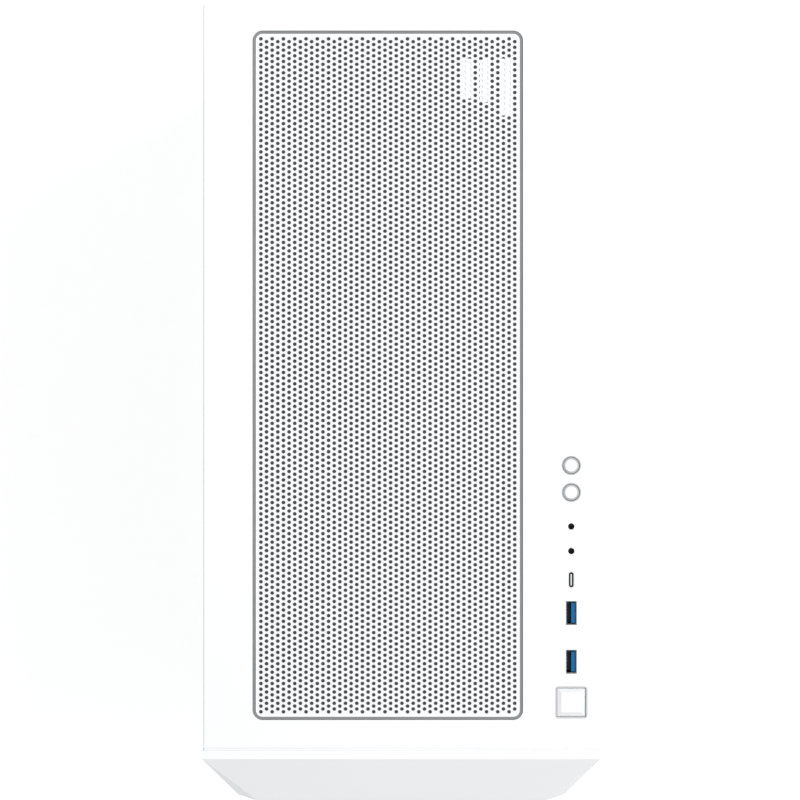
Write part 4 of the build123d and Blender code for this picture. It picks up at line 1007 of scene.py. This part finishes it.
# middle below the shield's top, length, height off the board, kind
STACKS = (
    (13.0, 16.0, 28.0, "jacks"), (36.0, 15.0, 16.0, "video"), (58.0, 16.0, 32.0, "usb"),
    (80.0, 16.0, 32.0, "usb"), (103.0, 16.0, 30.0, "network"), (134.0, 30.0, 34.0, "audio"),
)
# each socket of a stack, and how far along the stack's height it is
STACK_SOCKETS = {
    "jacks": (("jack", 0.25), ("jack", 0.75)), "video": (("video", 0.5),), "audio": (),
    "usb": (("usb", 0.27), ("usb", 0.73)), "network": (("network", 0.3), ("usb", 0.8)),
}
OPENING_HALVES = {"usb": (2.8, 6.5), "video": (2.4, 6.2), "network": (6.0, 5.8)}
# start, end and half length of the tongue in a socket
TONGUES = {"usb": (-0.2, 1.9, 5.7), "video": (-0.6, 0.6, 4.6), "jack": (-1.1, 1.1, 1.1)}
STEEL, DARK, BLUE, GOLD, BLACK = range(5)
PORT_MATERIALS = ["bright_steel", "chip", "usb_blue", "gold", "black_moulded"]


def stack_corners(below, length, height):
    """Corners of a stack of sockets, in x and z."""
    level = shield_high.z - below * MM
    return (port_high.x - height * MM, level - length / 2 * MM), (port_high.x, level + length / 2 * MM)


ports = Shape()
for below, length, height, kind in STACKS:
    corners = stack_corners(below, length, height)
    (left, low_z), (right, high_z) = corners
    middle_z = (low_z + high_z) / 2
    cavities, tongues = [], []
    for socket, share in STACK_SOCKETS[kind]:
        x = left + (right - left) * share
        if socket == "jack":
            cavities.append(circle((x, middle_z), 4.6 * MM, 24))
        else:
            half_x, half_z = OPENING_HALVES[socket]
            cavities.append(rectangle(*grown((x, middle_z), (x, middle_z), half_x * MM, half_z * MM)))
        if socket in TONGUES:
            start, end, half = TONGUES[socket]
            tongues.append(((x + start * MM, middle_z - half * MM), (x + end * MM, middle_z + half * MM)))
    if kind == "audio":
        for a in (0.18, 0.5, 0.82):
            for b in (0.26, 0.74):
                at = (left + (right - left) * a, low_z + (high_z - low_z) * b)
                cavities.append(circle(at, 1.8 * MM, 20))
    ports.material = BLACK if kind == "audio" else STEEL
    socket_block(ports, rectangle(*corners), cavities, face, port_low.y, 9 * MM, "Y", DARK)
    has_usb = kind in ("usb", "network")
    ports.material = BLUE if has_usb else DARK
    for a, b in tongues:
        ports.box((a[0], face - 8.9 * MM, a[1]), (b[0], face - 1.2 * MM, b[1]), 0.15 * MM)
    ports.material = GOLD
    pins = 5 if has_usb else 3
    for a, b in tongues:
        for k in range(pins):
            z = a[1] + (b[1] - a[1]) * (k + 0.5) / pins
            ports.box((a[0] - 0.08 * MM, face - 8 * MM, z - 0.3 * MM), (a[0], face - 1.6 * MM, z + 0.3 * MM))
ports.piece("rear_sockets", PORT_MATERIALS, "chassis", ["rear_io_ports"], 30)

# pressed shield round the sockets, with a raised rim
FIT, RIM_HEIGHT = 0.08 * MM, 0.3 * MM
shield = Shape()
cuts = [rectangle(*grown(*stack_corners(*stack[:3]), FIT)) for stack in STACKS]
shield.plate(shield_line, cuts, shield_low.y, shield_high.y - RIM_HEIGHT, "Y")
RIM, RIGHT_RIM = 1.6 * MM, 0.4 * MM
inner = rectangle(
    (shield_low.x + RIM, shield_low.z + RIM), (shield_high.x - RIGHT_RIM, shield_high.z - RIM)
)
shield.plate(shield_line, [inner], shield_high.y - RIM_HEIGHT, shield_high.y, "Y")
shield.piece("pressed_shield", ["graphite"], "chassis", ["io_shield"])

# honeycomb outlet of the power supply, in front of its back face
inlet_low, inlet_high = BOX["power_inlet"]
face_low, face_high = grown(*seen_from_behind(BOX["power_supply"]), -12.0 * MM, -4.0 * MM)
cuts = hex_field((face_low[0] + 5 * MM, face_low[1] + 5 * MM), (inlet_low.x - 7 * MM, face_high[1] - 5 * MM))
cuts.append(rectangle(*grown(*seen_from_behind(BOX["power_inlet"]), 0.1 * MM)))
cuts.append(rectangle(*grown(*seen_from_behind(BOX["psu_switch"]), 0.2 * MM, 1.5 * MM)))
psu_skin = Shape()
psu_line = rounded(face_low, face_high, 1.0 * MM, 3)
psu_skin.plate(psu_line, cuts, panel_low.y + 0.05 * MM, panel_high.y - 0.2 * MM, "Y")
psu_skin.piece("psu_outlet", ["psu_coat"], "chassis")

# mains inlet: a cavity with two cut corners, and three blades
INLET_DEPTH = 17 * MM
HALF_X, HALF_Z, CUT = 12.3 * MM, 8.3 * MM, 4.6 * MM
inlet = Shape()
x, z = (inlet_low.x + inlet_high.x) / 2, (inlet_low.z + inlet_high.z) / 2
body_line = rounded(*seen_from_behind(BOX["power_inlet"]), 1.2 * MM, 3)
cavity = [
    (x - HALF_X, z - HALF_Z), (x + HALF_X, z - HALF_Z), (x + HALF_X, z + HALF_Z - CUT),
    (x + HALF_X - CUT, z + HALF_Z), (x - HALF_X + CUT, z + HALF_Z), (x - HALF_X, z + HALF_Z - CUT),
]
socket_block(inlet, body_line, [cavity], inlet_high.y, inlet_low.y, INLET_DEPTH, "Y", 0)
inlet.material = 1
for dx, dz in ((-7.0, -2.0), (7.0, -2.0), (0.0, -5.5)):
    low, high = grown((x + dx * MM, z + dz * MM), (x + dx * MM, z + dz * MM), 1 * MM, 2 * MM)
    back = inlet_high.y - INLET_DEPTH
    inlet.box((low[0], back, low[1]), (high[0], inlet_high.y - 3 * MM, high[1]), 0.3 * MM)
inlet.piece("mains_inlet", ["black_moulded", "nickel"], "chassis", ["power_inlet"])

# ================================================================ processor cooler
fins_low, fins_high = BOX["cooler_heatsink"]
base_left = fins_high.x - 10 * MM
fin_end = base_left - 16 * MM
centre_y, centre_z = (fins_low.y + fins_high.y) / 2, (fins_low.z + fins_high.z) / 2
notch = 5 * MM
half_y, half_z = (fins_high.y - fins_low.y) / 2, (fins_high.z - fins_low.z) / 2
# corners of a fin: its side in y, its side in z, and which of the two the notch shortens
FIN_CORNERS = (
    (1, -1, 0), (1, 1, 0), (1, 1, 1), (-1, 1, 1), (-1, 1, 0), (-1, -1, 0), (-1, -1, 1), (1, -1, 1)
)
fin_line = [
    (centre_y + a * (half_y - (notch if c else 0)), centre_z + b * (half_z - (0 if c else notch)))
    for a, b, c in FIN_CORNERS
]
cooler = Shape()
x = fins_low.x + 1.6 * MM
while x < fin_end:
    cooler.prism(fin_line, x, x + 0.45 * MM, "X")
    x += 2.3 * MM
cooler.material = 1
cooler.prism(fin_line, fins_low.x, fins_low.x + 1.2 * MM, "X", 0.3 * MM)
cooler.material = 2
base_low, base_high = grown((centre_y, centre_z), (centre_y, centre_z), 21 * MM)
cooler.box((base_left, *base_low), (fins_high.x, *base_high), 0.8 * MM)
PIPE, PIPE_BEND = 3 * MM, 14 * MM
# each pipe's place across the fins, its far end and its start in the base, from the middle
PIPES = ((-10, 42, 12), (-3.5, 24, 4), (3.5, -24, -4), (10, -42, -12), (-3.5, -42, -12), (3.5, 42, 12))
pipe_x = base_left + 5 * MM
for across, far_end, near_end in PIPES:
    y, z_far = centre_y + across * MM, centre_z + far_end * MM
    bend = math.copysign(PIPE_BEND, far_end)
    path = [(pipe_x, y, centre_z + near_end * MM)]
    for k in range(9):
        turn = math.pi / 2 * k / 8
        x = pipe_x - PIPE_BEND + PIPE_BEND * math.cos(turn)
        path.append((x, y, z_far - bend + bend * math.sin(turn)))
    path.append((fins_low.x + 0.4 * MM, y, z_far))
    cooler.tube(path, PIPE, 14)
COOLER_MATERIALS = ["fin_aluminium", "black_moulded", "copper_nickel"]
cooler.piece("cooler_fins", COOLER_MATERIALS, "chassis", ["cooler_heatsink"], 40)

# ================================================================ memory
STICKS, STICK_THICKNESS = 4, 5 * MM
stick_low, stick_high = BOX["memory_modules"]
step = (stick_high.y - stick_low.y - STICK_THICKNESS) / (STICKS - 1)
low_x, high_x = stick_low.x, stick_high.x - 7 * MM
low_z, high_z = stick_low.z + 0.6 * MM, stick_high.z - 0.6 * MM
# the spreader's crest steps down between its two raised ends
crest = [(5, 0), (0, 9), (0, 40), (2, 43)]
spreader = [(high_x, low_z), (high_x, high_z)]
spreader += [(low_x + a * MM, high_z - b * MM) for a, b in crest]
spreader += [(low_x + a * MM, low_z + b * MM) for a, b in reversed(crest)]
memory = Shape()
for k in range(STICKS):
    y = stick_low.y + k * step
    memory.material = 1
    memory.box((stick_low.x + 6 * MM, y + 1.9 * MM, stick_low.z), (stick_high.x, y + 3.1 * MM, stick_high.z))
    memory.material = 0
    for start, end in ((0.2, 1.8), (3.2, 4.8)):
        memory.prism(spreader, y + start * MM, y + end * MM, "Y", 0.3 * MM)
    memory.material = 2
    bar_low = (low_x + 1.2 * MM, y + 0.9 * MM, low_z + 10 * MM)
    memory.box(bar_low, (low_x + 3.5 * MM, y + 4.1 * MM, high_z - 10 * MM), 0.3 * MM)
MEMORY_MATERIALS = ["white_spreader", "board_black", "satin_grey"]
memory.piece("memory_sticks", MEMORY_MATERIALS, "chassis", ["memory_modules"])

# ================================================================ parts on the main board
board_low, board_high = BOX["motherboard"]
face_x = board_low.x
parts = Shape()
PART_MATERIALS = ["chip", "capacitor", "graphite", "bright_steel", "gold"]
processor_low, processor_high = BOX["processor"]


def chip(low, size, height, material, bevel=0.15):
    """Block on the board's face, from its low corner in y and z."""
    parts.material = material
    high = (face_x, low[0] + size[0] * MM, low[1] + size[1] * MM)
    parts.box((face_x - height * MM, *low), high, bevel * MM)


def can(y, z, radius, height):
    """Electrolytic capacitor: a can with a chamfered top."""
    parts.material = 3
    profile = [(radius, -0.2), (radius, -height + 0.5), (radius - 0.5, -height), (0, -height)]
    parts.lathe([(r * MM, level * MM) for r, level in profile], (face_x, y, z), "X", 20)


for k in range(8):
    z = processor_high.z + 6 * MM
    chip((processor_low.y - 24 * MM + k * 9.4 * MM, z + 6 * MM), (7.4, 7.4), 5.5, 2, 0.8)
    chip((processor_low.y - 22 * MM + k * 9.4 * MM, z - 2 * MM), (4.6, 5.4), 1.0, 0)
for k in range(6):
    can(processor_low.y - 12 * MM + k * 9.0 * MM, processor_low.z - 12 * MM, 2.6, 6.5)
for k in range(5):
    can(board_low.y + 12 * MM + k * 8 * MM, board_low.z + 8 * MM, 2.4, 5.5)
CHIPS = ((20, 60, 12, 12), (8, 96, 9, 9), (150, 48, 10, 10), (200, 24, 7, 7), (60, 22, 8, 6), (96, 26, 6, 8))
for y, z, long, wide in CHIPS:
    chip((board_low.y + y * MM, board_low.z + z * MM), (long, wide), 1.2, 0)
SMALL_PARTS = 170
for k in range(SMALL_PARTS):
    y = chance.uniform(board_low.y + 5 * MM, board_high.y - 5 * MM)
    z = chance.uniform(board_low.z + 5 * MM, board_high.z - 5 * MM)
    if chance.random() < 0.5:
        chip((y, z), (1.6, 0.8), 0.6, chance.choice((0, 1, 3)), 0.08)
    else:
        chip((y, z), (1.0, 2.0), 0.7, chance.choice((0, 1, 4)), 0.08)
parts.piece("board_parts", PART_MATERIALS, "chassis", (), 40)

# ================================================================ graphics card
shroud_low, shroud_high = BOX["graphics_cooler"]
fan_spots = [joint["pos_m"][:2] for joint in RECORD_JOINTS if joint["name"].startswith("graphics_spin")]
CARD_OPENING, CARD_RING, CARD_RING_HEIGHT = 46.9 * MM, 47.8 * MM, 12 * MM
FACE_THICKNESS, WALL_THICKNESS = 2.4 * MM, 1.8 * MM
x0, y0, x1, y1 = shroud_low.x, shroud_low.y, shroud_high.x, shroud_high.y
shroud_line = [
    (x0 + 12 * MM, y0), (x1 - 3 * MM, y0), (x1, y0 + 3 * MM), (x1, y1),
    (x0 + 4 * MM, y1), (x0, y1 - 4 * MM), (x0, y0 + 12 * MM),
]
shroud = Shape()
face_top = shroud_low.z + FACE_THICKNESS
shroud.plate(shroud_line, [circle(spot, CARD_OPENING, 72) for spot in fan_spots], shroud_low.z, face_top, "Z")
shroud.plate(shroud_line, [shrink(shroud_line, WALL_THICKNESS)], face_top, shroud_high.z - 9 * MM, "Z")
for spot in fan_spots:
    low_z, high_z = shroud_low.z, shroud_low.z + CARD_RING_HEIGHT
    ring = [(CARD_OPENING, low_z), (CARD_RING, low_z), (CARD_RING, high_z), (CARD_OPENING, high_z)]
    shroud.lathe(ring + ring[:1], (*spot, 0), "Z", 72)
FIN_PITCH, FIN_THICKNESS = 2.4 * MM, 0.5 * MM
fin_low, fin_high = shroud_high.z - 23 * MM, shroud_high.z - 0.6 * MM
shroud.material = 1
y = y0 + 6 * MM
while y < y1 - 5 * MM:
    shroud.box((x0 + 3.5 * MM, y, fin_low), (x1 - 3.5 * MM, y + FIN_THICKNESS, fin_high))
    y += FIN_PITCH
shroud.material = 2
stripe_low = (x0, y0 + 30 * MM, shroud_low.z + 7 * MM)
shroud.box(stripe_low, (x0 + 1.0 * MM, y1 - 40 * MM, shroud_low.z + 9.5 * MM), 0.2 * MM)
pipe_z = shroud_high.z - 4.5 * MM
for y in (y0 + 40 * MM, y1 - 46 * MM):
    shroud.tube([(x0 + 4 * MM, y, pipe_z), (x1 - 6 * MM, y, pipe_z)], PIPE, 12)
SHROUD_MATERIALS = ["white_spreader", "fin_aluminium", "satin_grey"]
shroud.piece("graphics_shroud", SHROUD_MATERIALS, "chassis", ["graphics_cooler"], 40)

# backplate with seven long slots near the front end
card_low, card_high = BOX["graphics_board"]
SLOT_STEP, SLOT_WIDTH = 9 * MM, 4 * MM
slots = []
for k in range(7):
    x = card_low.x + 12 * MM + k * SLOT_STEP
    slots.append(rounded((x, card_low.y + 14 * MM), (x + SLOT_WIDTH, card_low.y + 60 * MM), 1.9 * MM, 3))
plate_right, plate_back = card_high.x - 12 * MM, card_high.y - 6 * MM
plate_line = [
    (card_low.x, card_low.y + 8 * MM), (card_low.x + 8 * MM, card_low.y), (plate_right, card_low.y),
    (plate_right, plate_back), (card_low.x, plate_back),
]
backplate = Shape()
backplate.plate(plate_line, slots, card_high.z, card_high.z + 1.2 * MM, "Z")
backplate.piece("graphics_backplate", ["white_spreader"], "chassis", (), 30)

# ================================================================ main power cable
ROUTE = (
    (60, 71.55, 67.2), (60, 26.55, 67.2), (94.2, -9.95, 73.2), (94.2, -46.45, 175), (94.2, -46.45, 261.85),
    (92.2, -46.45, 301.85), (32.9, -46.45, 301.85), (32.9, -17.45, 301.85), (62.9, -17.45, 301.85),
)
WIRES, WIRE_RADIUS = 8, 1.15 * MM
TURN_POINT = 6
for k in range(WIRES):
    sideways, stack = (k % 4 - 1.5) * 2.3, (k // 4 - 0.5) * 2.2
    wire = bpy.data.curves.new(f"power_wire_{k + 1}", "CURVE")
    wire.dimensions = "3D"
    wire.bevel_depth = WIRE_RADIUS
    wire.bevel_resolution = 3
    spline = wire.splines.new("NURBS")
    spline.points.add(len(ROUTE) - 1)
    for i, (point, place) in enumerate(zip(spline.points, ROUTE)):
        shift = (stack, sideways, 0)
        if i >= TURN_POINT:
            shift = (stack, stack if i == TURN_POINT else 0, sideways)
        point.co = (*[(a + b) * MM for a, b in zip(place, shift)], 1)
    spline.order_u = 3
    spline.use_endpoint_u = True
    wire.materials.append(MATERIALS["white_sleeve"])
    cable = bpy.data.objects.new(f"power_wire_{k + 1}", wire)
    scene.collection.objects.link(cable)
    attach(cable, "chassis")
    if k == 0:
        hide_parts("main_power_cable")

# ================================================================ floor, lights and camera
LENS = 150.0
SENSOR = 36.0
TOP_Z = cad_box[1][2]
VIEW_WIDTH = 451.7 * MM
VIEW_MIDDLE = (-0.7 * MM, BOX["top_cover"][1].y - 224.6 * MM)

floor_mesh = bpy.data.meshes.new("floor")
reach = 6.0
floor_line = rectangle((-reach, -reach), (reach, reach))
floor_mesh.from_pydata([(x, y, 0) for x, y in floor_line], [], [(0, 1, 2, 3)])
floor = bpy.data.objects.new("floor", floor_mesh)
scene.collection.objects.link(floor)
coated("floor_paper", (0.32, 0.32, 0.32), 0.85, 0.95, 300.0, 0.00002, 0.004)
FLOOR_GLOW = 0.79
floor_shader = MATERIALS["floor_paper"].node_tree.nodes["Principled BSDF"]
floor_shader.inputs["Emission Color"].default_value = (1, 1, 1, 1)
floor_shader.inputs["Emission Strength"].default_value = FLOOR_GLOW
floor_mesh.materials.append(MATERIALS["floor_paper"])

world = bpy.data.worlds.new("studio")
scene.world = world
world.use_nodes = True
world.node_tree.nodes["Background"].inputs["Color"].default_value = (0.96, 0.98, 1.0, 1.0)
world.node_tree.nodes["Background"].inputs["Strength"].default_value = 0.46


def area_light(name, place, target, size, power, tint=(1, 1, 1)):
    data = bpy.data.lights.new(name, "AREA")
    data.shape = "RECTANGLE"
    data.size, data.size_y = size
    data.energy = power
    data.color = tint
    made = bpy.data.objects.new(name, data)
    made.location = place
    made.rotation_euler = (Vector(target) - Vector(place)).to_track_quat("-Z", "Y").to_euler()
    scene.collection.objects.link(made)


area_light("key", (1.4, 0.35, 2.9), (0, 0, 0.3), (1.4, 1.4), 56.0)
area_light("fill", (-2.0, -1.4, 1.6), (0, 0, 0.25), (1.8, 1.8), 3.0, (0.95, 0.98, 1.0))
area_light("back", (-0.6, 2.2, 1.8), (0, 0, 0.3), (1.8, 1.2), 5.0, (0.92, 0.97, 1.0))
area_light("above", (0.2, -0.2, 3.2), (0, 0, 0.4), (1.4, 1.4), 8.0)

camera_data = bpy.data.cameras.new("camera")
camera_data.lens = LENS
camera_data.sensor_width = SENSOR
camera = bpy.data.objects.new("camera", camera_data)
distance = VIEW_WIDTH * LENS / SENSOR
camera.location = (*VIEW_MIDDLE, TOP_Z + distance)
scene.collection.objects.link(camera)
scene.camera = camera
scene.view_settings.view_transform = "Standard"
scene.view_settings.exposure = 0.04
